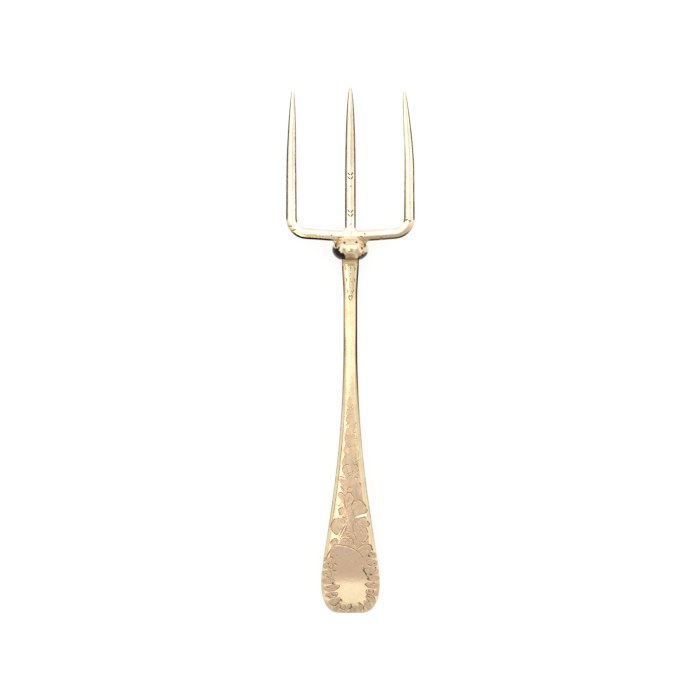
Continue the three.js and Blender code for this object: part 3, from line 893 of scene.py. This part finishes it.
def handleBlank(span):
    frontLevel = handle["frontLevel"]
    line = handleOutline(span)
    outline = line + [Vector((-p.x, p.y)) for p in reversed(line) if p.x]
    bm = bmesh.new()
    tarnishAndPaintedShade = bm.verts.layers.float.new("tarnishAndPaintedShade")
    ring = bmesh.ops.create_circle(bm, segments=len(outline), radius=1, cap_ends=True)["verts"]
    steps = edgeProfile()
    drop = sum(fall for inset, fall in steps)
    for vert, point in zip(ring, outline):
        vert.co = (point.x, point.y, frontLevel - drop)
    front = bm.faces[:][0]
    # the outline's ring carries the full painted dark reflection
    for vert in ring:
        vert[tarnishAndPaintedShade] = 1.0
    # the wall goes down in two steps, and only the upper one gets the painted dark reflection
    rim = list(front.edges)
    for level in (frontLevel - drop - handle["rim"]["deep"], handle["backEdge"]):
        low, rim = extrudeRing(bm, rim)
        for vert in low:
            vert.co.z = level
            vert[tarnishAndPaintedShade] = 0.0
    back = bmesh.ops.edgeloop_fill(bm, edges=rim)["faces"][0]
    bmesh.ops.recalc_face_normals(bm, faces=bm.faces)
    fromRim = 0.0
    for inset, fall in steps:
        drop -= fall
        fromRim += inset
        bmesh.ops.inset_region(bm, faces=[front], thickness=inset, use_even_offset=True)
        # painted dark reflection fading from the rim over the bevels
        for vert in front.verts:
            vert.co.z = frontLevel - drop
            vert[tarnishAndPaintedShade] = ramp(fromRim, handle["rim"]["reach"], 0)
    rounds = 4
    for k in range(rounds):
        a, b = (math.pi / 2 * j / rounds for j in (k, k + 1))
        bmesh.ops.inset_region(bm, faces=[back], thickness=handle["backEdge"] * (math.cos(a) - math.cos(b)),
                               use_even_offset=True)
        for vert in back.verts:
            vert.co.z = handle["backEdge"] * (1 - math.sin(b))
    cutCells(bm, front, span)
    cutCells(bm, back, span)
    return bm


def bevelShare(fromEnd):
    endShare, full = handle["endEdge"]
    neckShare, start, stop = handle["neckEdge"]
    nearEnd = endShare + (1 - endShare) * ramp(fromEnd, 0, full)
    nearNeck = 1 - (1 - neckShare) * ramp(fromEnd, start, stop)
    return min(nearEnd, nearNeck)


def neckRightEdgeBrown(across, fromEnd):
    neck = handle["neckRightEdgeBrown"]
    upwards = ramp(fromEnd, neck["from"], neck["full"])
    return neck["strength"] * upwards * ramp(across, *neck["rightEdge"])


def setBends(bm, path):
    span = path[2][-1]
    frontLevel = handle["frontLevel"]
    endLength = handle["endLength"]
    rim = handle["rim"]
    tarnishAndPaintedShade = bm.verts.layers.float["tarnishAndPaintedShade"]
    for vert in bm.verts:
        across, fromEnd, height = vert.co
        # painted dark reflection on the rims, stronger on the right and faded in from the blade, with the
        # faint brown at the neck's right edge
        vert[tarnishAndPaintedShade] *= rim["left" if across < 0 else "right"] * ramp(fromEnd, *rim["fades"])
        vert[tarnishAndPaintedShade] = max(vert[tarnishAndPaintedShade], neckRightEdgeBrown(across, fromEnd))
        place, heading = along(path, span - fromEnd)
        slim = min(1, (span - fromEnd) / (span - endLength))
        body = handle["neckThickness"] + (handle["bladeThickness"] - handle["neckThickness"]) * slim
        thinning = math.sqrt(min(1, max(0, fromEnd) / endLength))
        thickness = handle["endThickness"] + (body - handle["endThickness"]) * thinning
        if height > frontLevel / 2:
            crown = across ** 2 / (2 * handle["crownRadius"])
            height = thickness - (frontLevel - height) * bevelShare(fromEnd) - crown
        front = Vector((heading.y, -heading.x))
        y, z = place + front * height
        vert.co = (across, y, max(z, -knop["radius"]))  # the end is worn flat where it lies


# Ornament: a vine of leaves, an open flower and a vacant cartouche in a scrolled border.
# Places are (across, distance from the handle's end as seen from above)

ornament = {
    # a leaf is its root and its edges: cuts fan out to each edge, and a vein runs to its middle
    "leaves": [
        [(-0.6, 51.2), [(-3.2, 55.0), (-2.6, 56.2), (-1.4, 56.9), (-0.2, 56.5)],
         [(1.2, 56.8), (2.3, 57.0), (3.0, 55.9)], [(2.9, 55.3), (2.7, 54.4), (2.1, 53.8)]],
        [(2.4, 46.4), [(1.6, 52.6), (2.4, 51.8), (3.4, 52.0)], [(3.3, 50.2), (4.0, 49.4), (3.4, 48.4)]],
        [(-1.9, 45.2), [(-3.9, 49.0), (-3.1, 48.0), (-2.2, 47.0)],
         [(-1.6, 46.9), (-0.5, 48.1), (1.2, 48.5)]],
        [(-1.9, 41.0), [(-4.8, 46.0), (-3.6, 46.3), (-2.6, 45.6), (-1.8, 44.4)],
         [(-1.8, 45.3), (-0.9, 46.2), (0.3, 46.1), (1.4, 44.3)]],
        [(-2.2, 38.2), [(-4.7, 39.2), (-4.2, 40.1), (-2.7, 40.6)],
         [(-4.6, 39.0), (-3.9, 38.4), (-4.2, 37.6)]],
        [(1.4, 37.0), [(0.3, 41.2), (0.9, 42.6), (2.0, 43.0)],
         [(2.1, 43.0), (3.2, 43.4), (4.5, 42.8), (5.7, 41.5), (6.2, 40.3)],
         [(6.1, 40.4), (6.5, 39.3), (5.5, 38.4), (4.2, 38.0)]],
        [(-2.3, 33.8), [(-7.8, 32.8), (-7.2, 34.6), (-6.3, 35.9), (-5.0, 36.6)],
         [(-4.9, 36.6), (-4.1, 36.2), (-3.5, 36.4)], [(-3.4, 36.5), (-2.2, 36.8), (-1.3, 35.8)],
         [(-7.6, 32.4), (-6.5, 31.3), (-5.3, 30.3), (-4.3, 31.0)]],
        [(2.4, 34.2), [(3.4, 36.2), (5.0, 36.7), (6.3, 36.1)], [(6.3, 35.6), (7.4, 34.3), (6.6, 33.0)],
         [(5.0, 33.0), (6.1, 32.4), (6.8, 30.5)], [(6.7, 30.2), (6.6, 29.0), (5.9, 28.0)],
         [(5.8, 28.0), (5.0, 27.2), (4.2, 27.8)]],
        [(-5.2, 26.2), [(-7.8, 26.8), (-6.8, 28.2), (-5.7, 28.8), (-4.6, 28.2)]],
        [(-2.2, 25.8), [(-3.8, 27.6), (-2.8, 28.6), (-1.7, 28.6), (-1.1, 27.8)]],
        [(0.4, 25.0), [(-1.1, 27.8), (-0.3, 28.8), (0.8, 28.3), (1.3, 26.9), (2.3, 25.4)]],
        [(4.6, 22.6), [(2.6, 24.5), (3.6, 25.5), (4.8, 26.2), (5.7, 26.0)],
         [(5.8, 26.0), (6.9, 26.4), (7.9, 26.0), (8.2, 24.3)], [(7.4, 23.6), (8.4, 22.6), (7.8, 21.2)]],
    ],
    # leaves between the outlined ones
    "fillLeaves": [
        [(-2.0, 46.2), [(-4.3, 51.8), (-3.2, 52.0), (-2.2, 51.2)],
         [(-1.7, 51.0), (-0.6, 52.4), (1.0, 52.7), (1.6, 50.4)]],
        [(-0.6, 36.6), [(-1.9, 40.4), (-0.6, 41.4), (0.4, 40.2)]],
        [(0.3, 34.4), [(-3.8, 28.9), (-2.6, 29.3), (-1.0, 29.1), (0.8, 29.3), (2.2, 28.7)]],
        [(1.6, 53.4), [(3.4, 52.0), (4.2, 49.6), (4.4, 46.8), (3.2, 44.6)]],
    ],
    # border round the cartouche: shaded leaves with a line along their edges, then curls
    "borderLeaves": [
        [(-11.2, 21.6), [(-8.9, 20.0), (-7.6, 19.6), (-6.9, 20.8)]],
        [(-11.4, 18.6), [(-8.8, 17.0), (-7.0, 17.2), (-6.6, 18.6), (-7.8, 19.4)]],
        [(-11.6, 15.6), [(-8.6, 13.9), (-7.2, 14.2), (-7.4, 15.6), (-8.4, 16.6)]],
        [(-11.6, 12.6), [(-8.6, 11.0), (-6.8, 11.4), (-6.2, 12.6), (-7.4, 13.8)]],
        [(-11.0, 9.6), [(-7.4, 8.0), (-5.4, 9.0), (-4.2, 10.4), (-6.8, 10.8)]],
        [(-10.4, 6.8), [(-7.0, 5.4), (-5.4, 6.2), (-5.0, 7.6), (-7.2, 7.9)]],
        [(-9.0, 3.6), [(-6.2, 2.6), (-4.4, 4.0), (-4.0, 5.6), (-6.8, 5.2)]],
        [(-6.6, 0.4), [(-4.8, 1.2), (-3.8, 2.2), (-4.2, 3.4), (-6.0, 2.6)]],
        [(-3.4, -1.2), [(-3.8, 2.0), (-2.8, 2.8), (-1.8, 2.2), (-1.9, 0.9)]],
        [(-0.8, -1.4), [(-1.7, 1.9), (-0.5, 3.0), (0.7, 2.2), (0.6, 0.8)]],
        [(1.8, -1.4), [(0.8, 1.5), (1.8, 2.4), (2.7, 1.8)]],
        [(4.4, -1.0), [(2.8, 2.4), (3.9, 3.3), (5.0, 2.4), (5.2, 1.2)]],
        [(7.6, 0.6), [(5.2, 2.8), (5.3, 4.4), (6.6, 4.8), (7.6, 3.8)]],
        [(10.0, 3.6), [(7.0, 4.6), (6.0, 6.0), (7.0, 6.9), (8.8, 6.3)]],
        [(11.2, 7.2), [(8.6, 6.6), (6.4, 7.2), (6.2, 8.6), (8.4, 9.0)]],
        [(11.6, 10.4), [(8.4, 9.4), (6.6, 10.0), (5.9, 11.2), (8.2, 11.9)]],
        [(11.8, 13.4), [(8.4, 12.2), (6.8, 12.8), (7.2, 14.2), (8.8, 14.6)]],
        [(11.8, 16.2), [(8.6, 15.0), (6.4, 15.0), (5.4, 16.8), (8.0, 17.5)]],
        [(11.4, 19.2), [(8.2, 18.0), (6.6, 18.8), (6.4, 20.4), (8.4, 20.6)]],
        [(10.8, 22.2), [(8.2, 21.2), (6.8, 21.8), (7.2, 23.2), (8.6, 23.4)]],
    ],
    "curls": [
        [(-7.9, 21.9), (-7.2, 21.4), (-6.6, 20.9)], [(-6.2, 19.2), (-5.6, 18.8), (-5.1, 18.3)],
        [(-9.2, 19.6), (-8.6, 19.0), (-8.0, 19.1)], [(-8.6, 18.2), (-8.0, 17.6), (-7.6, 16.9)],
        [(-9.9, 15.4), (-9.3, 14.9), (-8.6, 15.2)], [(-6.6, 16.8), (-6.0, 16.1), (-5.2, 16.4)],
        [(-9.3, 13.9), (-8.7, 13.8), (-8.2, 13.2)],
        [(-7.4, 11.9), (-6.8, 11.4), (-6.4, 10.9), (-5.6, 11.2)],
        [(-9.8, 10.2), (-9.1, 9.9), (-8.3, 9.5), (-7.8, 9.9)],
        [(-5.2, 7.2), (-6.2, 6.5), (-7.0, 6.8), (-7.6, 7.8)],
        [(-9.2, 6.6), (-8.4, 6.1), (-7.6, 5.6), (-7.2, 6.2)], [(-4.0, 5.2), (-3.4, 4.8), (-3.1, 4.0)],
        [(-7.8, 3.4), (-6.4, 2.4), (-5.6, 2.6), (-5.0, 3.4)],
        [(-4.4, 2.4), (-3.6, 1.4), (-2.6, 0.9), (-1.8, 1.4)],
        [(-1.6, 0.6), (-0.6, 1.0), (0.2, 1.8), (0.4, 2.8), (-0.2, 3.6)],
        [(1.2, 0.4), (1.8, 0.8), (1.4, 1.6)], [(2.6, 3.7), (3.6, 3.5), (4.2, 2.6)],
        [(5.4, 0.9), (5.0, 1.8), (5.5, 2.4)], [(3.6, 0.5), (4.6, 0.8), (5.4, 0.7)],
        [(6.2, 6.4), (7.0, 6.1), (7.6, 5.4)], [(6.4, 3.4), (7.0, 4.0), (7.4, 4.8)],
        [(8.4, 6.4), (9.0, 5.8), (9.6, 4.8)], [(6.8, 8.8), (7.1, 8.2), (7.5, 7.6)],
        [(8.6, 8.8), (8.9, 8.0), (8.6, 7.3)], [(5.4, 11.2), (5.8, 10.8), (6.2, 11.3)],
        [(6.0, 12.8), (6.8, 13.1), (7.4, 12.7)], [(8.3, 11.6), (8.9, 11.2), (9.4, 11.6)],
        [(7.2, 15.2), (7.9, 14.8), (8.4, 15.2)], [(9.0, 16.2), (9.6, 16.1), (10.0, 16.8)],
        [(9.2, 17.7), (9.8, 17.4), (9.6, 16.9)], [(4.8, 17.6), (5.2, 17.0), (5.0, 16.5)],
        [(6.8, 18.8), (7.5, 18.3), (8.2, 18.6)], [(8.8, 19.6), (9.3, 19.1), (9.8, 18.6)],
        [(6.6, 22.4), (7.3, 22.0), (7.7, 21.4)], [(8.2, 24.9), (8.6, 24.4), (8.3, 23.8)],
        [(7.0, 26.3), (7.8, 26.1), (8.3, 25.5)],
    ],
    # faint leaves up the blade, rubbed by use
    "faintLeaves": [
        [(-0.3, 77.4), [(-1.5, 80.4), (-0.8, 82.2), (0.3, 83.6)],
         [(0.4, 83.4), (1.0, 81.2), (0.8, 79.0)]],
        [(-0.5, 72.2), [(-1.7, 74.8), (-1.0, 76.4), (-0.2, 76.8)],
         [(0.9, 73.0), (1.6, 74.2), (1.5, 75.6)]],
        [(-0.8, 66.6), [(-2.0, 69.2), (-1.5, 70.8), (-0.5, 71.2)]],
        [(1.1, 63.4), [(0.4, 65.8), (0.8, 67.2), (1.3, 67.6), (1.9, 66.2)]],
        [(0.0, 59.8), [(-2.5, 62.4), (-1.7, 64.0), (-0.6, 63.6)],
         [(1.4, 62.4), (2.4, 62.6), (2.7, 61.4)]],
        [(0.1, 72.0), [(-1.6, 77.2), (-0.6, 79.4), (0.6, 79.6), (1.3, 77.4)]],
        [(0.6, 67.5), [(-0.6, 73.6), (0.6, 75.2), (1.7, 74.4), (2.1, 71.6)]],
        [(-0.9, 62.5), [(-2.2, 67.6), (-1.6, 70.2), (-0.4, 70.6), (0.6, 68.8)]],
        [(1.0, 60.5), [(0.2, 67.4), (1.4, 69.8), (2.4, 68.0), (2.7, 65.2)]],
        [(-0.6, 57.6), [(-2.7, 62.6), (-1.9, 65.2), (-0.4, 65.8), (0.7, 63.6)]],
        [(1.4, 57.0), [(0.6, 62.2), (1.8, 64.0), (3.0, 62.6), (3.2, 60.0)]],
        [(-1.4, 54.8), [(-3.4, 58.0), (-2.4, 60.2), (-1.0, 60.4)]],
    ],
    "faintLines": [
        [(-1.6, 79.8), (-1.0, 79.2), (-0.5, 78.4)], [(-1.5, 78.2), (-0.9, 77.6), (-0.4, 76.9)],
        [(0.9, 80.2), (0.6, 79.2), (0.0, 78.0)], [(-1.7, 73.9), (-1.2, 73.2), (-0.7, 72.6)],
        [(-1.9, 68.4), (-1.4, 67.7), (-0.9, 67.2)], [(1.5, 71.8), (2.2, 72.7), (2.8, 73.0)],
        [(1.0, 69.4), (1.6, 69.0), (2.2, 69.4)], [(-2.6, 61.6), (-1.8, 61.0), (-1.0, 60.8)],
        [(-1.9, 71.6), (-1.2, 72.4), (-0.4, 72.2)], [(0.6, 72.8), (1.4, 72.0), (1.9, 71.0)],
        [(-2.3, 66.0), (-1.6, 66.8), (-0.8, 66.4)], [(1.2, 66.4), (2.0, 66.9), (2.6, 66.2)],
        [(-1.0, 75.4), (-0.3, 76.0), (0.5, 75.6)], [(-0.6, 63.2), (0.2, 63.9), (1.0, 63.4)],
        [(-2.8, 59.2), (-2.0, 59.9), (-1.2, 59.4)],
    ],
    "stems": [
        [(0.8, 57.0), (2.5, 58.2), (4.0, 59.0)], [(1.3, 59.4), (1.9, 59.4), (2.2, 58.9)],
        [(-2.8, 54.4), (-2.3, 53.8), (-1.8, 53.3)], [(-1.4, 53.4), (-0.3, 53.7), (1.1, 54.4)],
        [(-4.2, 52.4), (-3.1, 52.2), (-1.9, 51.8)], [(-1.6, 51.6), (-0.2, 52.8), (1.4, 53.1)],
        [(-5.1, 41.7), (-4.4, 41.4), (-3.5, 41.6)], [(-2.3, 43.4), (-2.0, 41.4), (-1.2, 39.4)],
        [(1.4, 43.8), (0.9, 42.2), (-0.2, 40.6)], [(1.7, 37.2), (1.0, 38.6), (0.5, 40.0), (0.3, 41.4)],
        [(1.5, 35.6), (2.2, 34.6), (3.1, 33.7)], [(-2.0, 33.9), (-3.3, 31.5), (-4.6, 28.8)],
        [(-1.2, 33.5), (-2.5, 31.1), (-4.0, 28.3)], [(-1.7, 32.1), (-0.7, 31.4), (0.5, 31.3)],
        [(-1.9, 30.0), (-0.7, 30.6), (0.4, 30.4)], [(-1.8, 29.8), (-0.6, 29.4), (0.4, 30.0)],
        [(1.2, 35.0), (0.9, 33.0), (1.4, 30.6), (2.6, 28.0)],
    ],
    "brightCuts": [
        [(1.8, 36.8), (4.1, 37.5), (6.1, 38.2)],
    ],
    "cartouche": [
        [(-7.4, 25.9), (-5.2, 26.3), (-2.2, 26.0), (0.9, 24.9), (3.6, 23.0), (5.7, 20.2)],
        [(4.6, 16.9), (5.9, 14.8), (7.3, 12.9)], [(-7.3, 24.7), (-8.9, 22.1), (-10.2, 19.8)],
    ],
    "pricks": [
        (-7.1, 22.6), (-6.2, 23.0), (-5.1, 22.2), (-3.4, 24.2), (-2.4, 21.6), (-0.6, 22.2), (0.6, 20.6),
        (2.0, 19.6), (-6.6, 21.2), (-4.2, 20.8), (3.4, 20.8), (4.4, 18.6), (1.2, 22.6), (-1.6, 23.4),
    ],
    # small marks on the neck
    "sprigs": [
        [(-2.0, 132.4), (-1.6, 131.6), (-1.9, 130.8)], [(1.4, 132.4), (1.9, 131.6), (1.6, 130.6)],
        [(-0.2, 132.3), (0.2, 131.7), (0, 131.0)], [(-1.8, 128.2), (-1.3, 127.2), (-1.6, 126.4)],
        [(1.2, 128.0), (1.7, 127.1), (1.3, 126.2)], [(-1.3, 123.6), (-0.9, 122.7), (-1.2, 122.0)],
        [(0.2, 123.2), (0.9, 122.4), (1.3, 123.6)], [(-0.7, 121.4), (-0.6, 120.2), (0, 119.3)],
        [(0.7, 121.4), (0.6, 120.2), (0, 119.3)], [(-0.7, 121.4), (0, 121.0), (0.7, 121.4)],
    ],
    "sprigDots": [
        (0, 127.6), (0.3, 126.5), (0, 124.2), (0, 129.6),
    ],
    # shares of the way from a leaf's root to its edge
    "ray": (0.15, 0.55, 0.96), "vein": (0.3, 0.6, 0.88), "borderVein": (0.4, 0.65, 0.88),
    # widths in mm, how much of a cut's length thins in and out, and depths over the width
    "fan": {"width": 0.8, "thin": (0.8, 0.12), "depth": 0.07, "spacing": 0.55},
    "borderFan": {"width": 0.8, "thin": (0.3, 0.12), "depth": 0.07},
    "leafLine": {"width": 0.68, "thin": (0.25, 0.25)},
    "edgeLine": {"width": 0.5, "thin": (0.4, 0.4)},
    "veinLine": {"width": 0.36, "thin": (0.15, 0.5)},
    "curlLine": {"width": 0.85, "thin": (0.4, 0.4), "depth": 0.3},
    "faintLine": {"width": 0.46, "thin": (0.35, 0.35)},
    "stemLine": {"width": 0.5, "thin": (0.2, 0.4)},
    "brightLine": {"width": 0.8, "thin": (0.75, 0.12), "depth": 0.2},
    "cartoucheLine": {"width": 0.6, "thin": (0.08, 0.2)},
    "sprigLine": {"width": 0.55, "thin": (0.3, 0.3)},
    "prickSize": 0.55, "sprigDotSize": 0.5,
    "dirt": 0.68,
}


def fanOf(root, edge):
    # side by side from a leaf's root to its edge
    every = round(ornament["fan"]["spacing"] / graver["step"])
    return [[root.lerp(place, share) for share in ornament["ray"]] for place in smoothLine(edge)[::every]]


def ornamentCuts(surface):
    cuts = []

    def cut(lines, lineName, finish=cutFinish):
        style = ornament[lineName]
        depth = style.get("depth", graver["depth"])
        for line in lines:
            points = [(x, y - handleReach) for x, y in line]
            cuts.append(stroke(surface, points, style["width"], style["thin"], depth, finish))

    def cutLeaves(leaves, fanName, finishes, vein=(), edgeName=None):
        for k, (root, *edges) in enumerate(leaves):
            root = Vector(root)
            for edge in edges:
                cut(fanOf(root, edge), fanName, finishes[k % len(finishes)])
                if vein:
                    middle = Vector(edge[len(edge) // 2])
                    cut([[root.lerp(middle, share) for share in vein]], "veinLine")
            if edgeName:
                cut(edges, edgeName)

    def prick(places, size):
        for x, y in places:
            cuts.append(dot(surface, (x, y - handleReach), size))

    cutLeaves(ornament["leaves"], "fan", [mattedFinish], ornament["vein"], "leafLine")
    cutLeaves(ornament["fillLeaves"], "fan", [mattedFinish])
    cutLeaves(ornament["borderLeaves"], "borderFan", [mattedFinish], ornament["borderVein"], "edgeLine")
    cutLeaves(ornament["faintLeaves"], "fan", [rubbedFinish, mattedFinish])
    cut(ornament["faintLines"], "faintLine")
    cut(ornament["curls"], "curlLine")
    cut(ornament["stems"], "stemLine")
    cut(ornament["brightCuts"], "brightLine", brightFinish)
    cut(ornament["cartouche"], "cartoucheLine")
    prick(ornament["pricks"], ornament["prickSize"])
    cut(ornament["sprigs"], "sprigLine")
    prick(ornament["sprigDots"], ornament["sprigDotSize"])
    return cuts


def makeHandle():
    path = handlePath()
    bm = handleBlank(path[2][-1])
    setBends(bm, path)
    bmesh.ops.recalc_face_normals(bm, faces=bm.faces)
    surface = BVHTree.FromBMesh(bm)
    piece = finishPiece("engravedHandle", bm, "handle",
                        [warmSilver, cutSilver, mattedSilver, brightSilver, rubbedSilver])
    engrave(piece, ornamentCuts(surface), ornament["dirt"])
    setInFrame(piece)


# Solder round the stem: a trumpet that runs from the neck out to the knop's flat

collar = {"length": 2.2, "widen": 1.08, "deepen": 2.05, "edge": -0.05, "sunk": 0.4, "steps": 14,
          "tarnishAndPaintedShade": (0.55, 0.95, 0.2)}  # painted dark reflection: left side, right side, front


def neckSection():
    half = handle["neckWidth"] / 2
    deep = handle["neckThickness"] / 2
    share = handle["neckEdge"][0]
    right = [(half - handle["backEdge"], -deep), (half, handle["backEdge"] - deep)]
    drop = share * sum(fall for inset, fall in edgeProfile())
    right.append((half, deep - drop))
    for inset, fall in edgeProfile():
        half -= inset
        drop -= share * fall
        right.append((half, deep - drop))
    return right + [(-across, up) for across, up in reversed(right)]


def makeCollar():
    section = neckSection()
    flush = 1 + 2 * collar["edge"] / handle["neckThickness"]
    places = []
    for k in range(collar["steps"] + 1):
        angle = math.pi / 2 * k / collar["steps"]
        flare = 1 - math.sin(angle)
        y = collar["sunk"] - shoulder - (collar["length"] + collar["sunk"]) * (1 - math.cos(angle))
        wide = flush + (collar["widen"] - flush) * flare
        high = flush + (collar["deepen"] - flush) * flare
        places.append(Matrix.Translation((0, y, 0)) @ Matrix.Diagonal((wide, 1, high, 1)))
    bm = bmesh.new()
    loft(bm, section, places)
    piece = finishPiece("stemSolder", bm, "stem_fillet", [warmSilver])
    left, right, front = collar["tarnishAndPaintedShade"]
    edge = handle["neckWidth"] / 2 - handle["rim"]["reach"]

    # painted dark reflection along the collar's sides, carrying on the stem's dark rims, and a little on its
    # front
    def collarShadeAt(vert):
        strength = left if vert.co.x < 0 else right
        return max(front, strength * ramp(abs(vert.co.x), edge, edge + 1))

    paintShade(piece, collarShadeAt)
    setInFrame(piece)


makeKnop()
makeYoke()
makeCentreTine()
makeWebs()
makeHandle()
makeCollar()


# Studio: pale floor, ceiling panels of soft light, camera straight above

floor = {"size": 8.0, "colour": "#f4f3f0", "ownLight": 0.85}


def makeFloor():
    bm = bmesh.new()
    bmesh.ops.create_grid(bm, x_segments=1, y_segments=1, size=floor["size"] / 2)
    mesh = bpy.data.meshes.new("floor")
    bm.to_mesh(mesh)
    bm.free()
    sheet = bpy.data.objects.new("floor", mesh)
    scene.collection.objects.link(sheet)
    # Matt white paper: seen by the eye and in the metal as white, with the fork's shadow kept
    material, tree = newMaterial("mattWhitePaper")
    seen = addNode(tree, "LightPath")
    direct = addNode(tree, "Math", {
        0: seen.outputs["Is Camera Ray"], 1: seen.outputs["Is Glossy Ray"]}, operation="MAXIMUM")
    anyWay = addNode(tree, "Math", {0: direct, 1: seen.outputs["Is Transmission Ray"]}, operation="MAXIMUM")
    share = addNode(tree, "Math", {0: anyWay, 1: floor["ownLight"]}, operation="MULTIPLY")
    paper = addNode(tree, "BsdfDiffuse", {"Color": linear(floor["colour"])})
    white = addNode(tree, "Emission", {"Color": (1, 1, 1, 1), "Strength": 1.0})
    both = addNode(tree, "MixShader", {0: share, 1: paper, 2: white})
    addNode(tree, "OutputMaterial", {"Surface": both})
    mesh.materials.append(material)


# panels at ceiling height: from and to in x and y, and what they add to the sky behind them
ceiling = 2.0
panels = {
    "key": ((-1.7, 1.7), (0.24, 2.3), 0.95),
    "crown": ((-0.15, 0.15), (-0.12, 0.05), 0.33),
    "neck": ((-0.15, 0.15), (0.05, 0.24), 0.6),
    "leftStrip": ((-0.5, -0.15), (-0.8, 0.24), 2.6),
    "left": ((-1.3, -0.5), (-1.5, 0.24), 0.75),
    "rightStrip": ((0.15, 0.5), (-0.8, 0.24), 0.2),
    "right": ((0.5, 1.5), (-1.5, 0.24), 0.5),
    "foot": ((-1.2, 1.2), (-2.9, -1.7), 0.6),
}
# directions are unit vectors, and each pair runs from none to full
sky = {
    "level": 0.83,
    "gain": (("X", 0.12), ("Y", -0.12)),
    "lifts": (("X", (-0.3, -0.8), 0.55), ("X", (0.4, 0.9), 0.4), ("Y", (0.1, 0.9), 0.42)),
    "bandLevel": 0.03,            # a low dark band on either side
    "underBand": (0.1, 0.04),
    "overBand": (0.26, 0.34),
    "endsOfBand": (0.93, 0.84),   # sideways share of the direction
    "nearerThanBand": (-0.02, -0.1),
    "flag": (("X", -1.0, 0.32), ("Y", 0.02, 0.06)),  # on the left: slope to its middle, and half its reach
    "flagLevel": 0.2,
}


def makeLights():
    for name, (acrossX, acrossY, brightness) in panels.items():
        lamp = bpy.data.lights.new(name + "Panel", "AREA")
        lamp.shape = "RECTANGLE"
        lamp.size = acrossX[1] - acrossX[0]
        lamp.size_y = acrossY[1] - acrossY[0]
        lamp.energy = brightness * math.pi * lamp.size * lamp.size_y
        panel = bpy.data.objects.new(name + "Panel", lamp)
        panel.location = (sum(acrossX) / 2, sum(acrossY) / 2, ceiling)
        scene.collection.objects.link(panel)
    world = bpy.data.worlds.new("studio")
    scene.world = world
    world.use_nodes = True
    world.node_tree.nodes.clear()
    tree = world.node_tree
    way = addNode(tree, "TexCoord").outputs["Generated"]
    direction = addNode(tree, "SeparateXYZ", {"Vector": way}).outputs
    level = sky["level"]
    for axis, gain in sky["gain"]:
        level = addNode(tree, "Math", {0: direction[axis], 1: gain, 2: level}, operation="MULTIPLY_ADD")
    for axis, (start, full), lift in sky["lifts"]:
        lifted = addNode(tree, "MapRange", {
            "Value": direction[axis], "From Min": start, "From Max": full, "To Max": lift})
        level = addNode(tree, "Math", {0: level, 1: lifted}, operation="ADD")
    sideways = addNode(tree, "Math", {0: direction["X"]}, operation="ABSOLUTE")
    offBand = 0.0
    for value, (start, full), least in (
            (direction["Z"], sky["underBand"], sky["bandLevel"]),
            (direction["Z"], sky["overBand"], sky["bandLevel"]),
            (sideways, sky["endsOfBand"], 0.0),
            (direction["Y"], sky["nearerThanBand"], 0.0)):
        outside = addNode(tree, "MapRange", {
            "Value": value, "From Min": start, "From Max": full, "To Min": least},
            interpolation_type="SMOOTHSTEP")
        offBand = addNode(tree, "Math", {0: offBand, 1: outside}, operation="MAXIMUM")
    flagged = 1.0
    for axis, middle, half in sky["flag"]:
        slope = addNode(tree, "Math", {0: direction[axis], 1: direction["Z"]}, operation="DIVIDE")
        within = addNode(tree, "Math", {0: slope, 1: middle, 2: half}, operation="COMPARE")
        flagged = addNode(tree, "Math", {0: flagged, 1: within}, operation="MULTIPLY")
    offFlag = addNode(tree, "MapRange", {"Value": flagged, "To Min": 1.0, "To Max": sky["flagLevel"]})
    besideBand = addNode(tree, "Math", {0: level, 1: offBand}, operation="MULTIPLY")
    strength = addNode(tree, "Math", {0: besideBand, 1: offFlag}, operation="MULTIPLY")
    back = addNode(tree, "Background", {"Color": (1, 1, 1, 1), "Strength": strength})
    addNode(tree, "OutputWorld", {"Surface": back})


# metres: height of the camera over the fork, and the width that it sees there
view = {"height": 1.2, "seen": 0.2672, "centre": (-0.00015, 0.0003, 0.007), "sensor": 36}


def makeCamera():
    camera = bpy.data.objects.new("camera", bpy.data.cameras.new("camera"))
    scene.collection.objects.link(camera)
    camera.location = Vector(view["centre"]) + Vector((0, 0, view["height"]))
    camera.data.sensor_width = view["sensor"]
    camera.data.lens = view["sensor"] * view["height"] / view["seen"]
    camera.data.clip_end = 50
    scene.camera = camera


makeFloor()
makeLights()
makeCamera()
print("studio set")
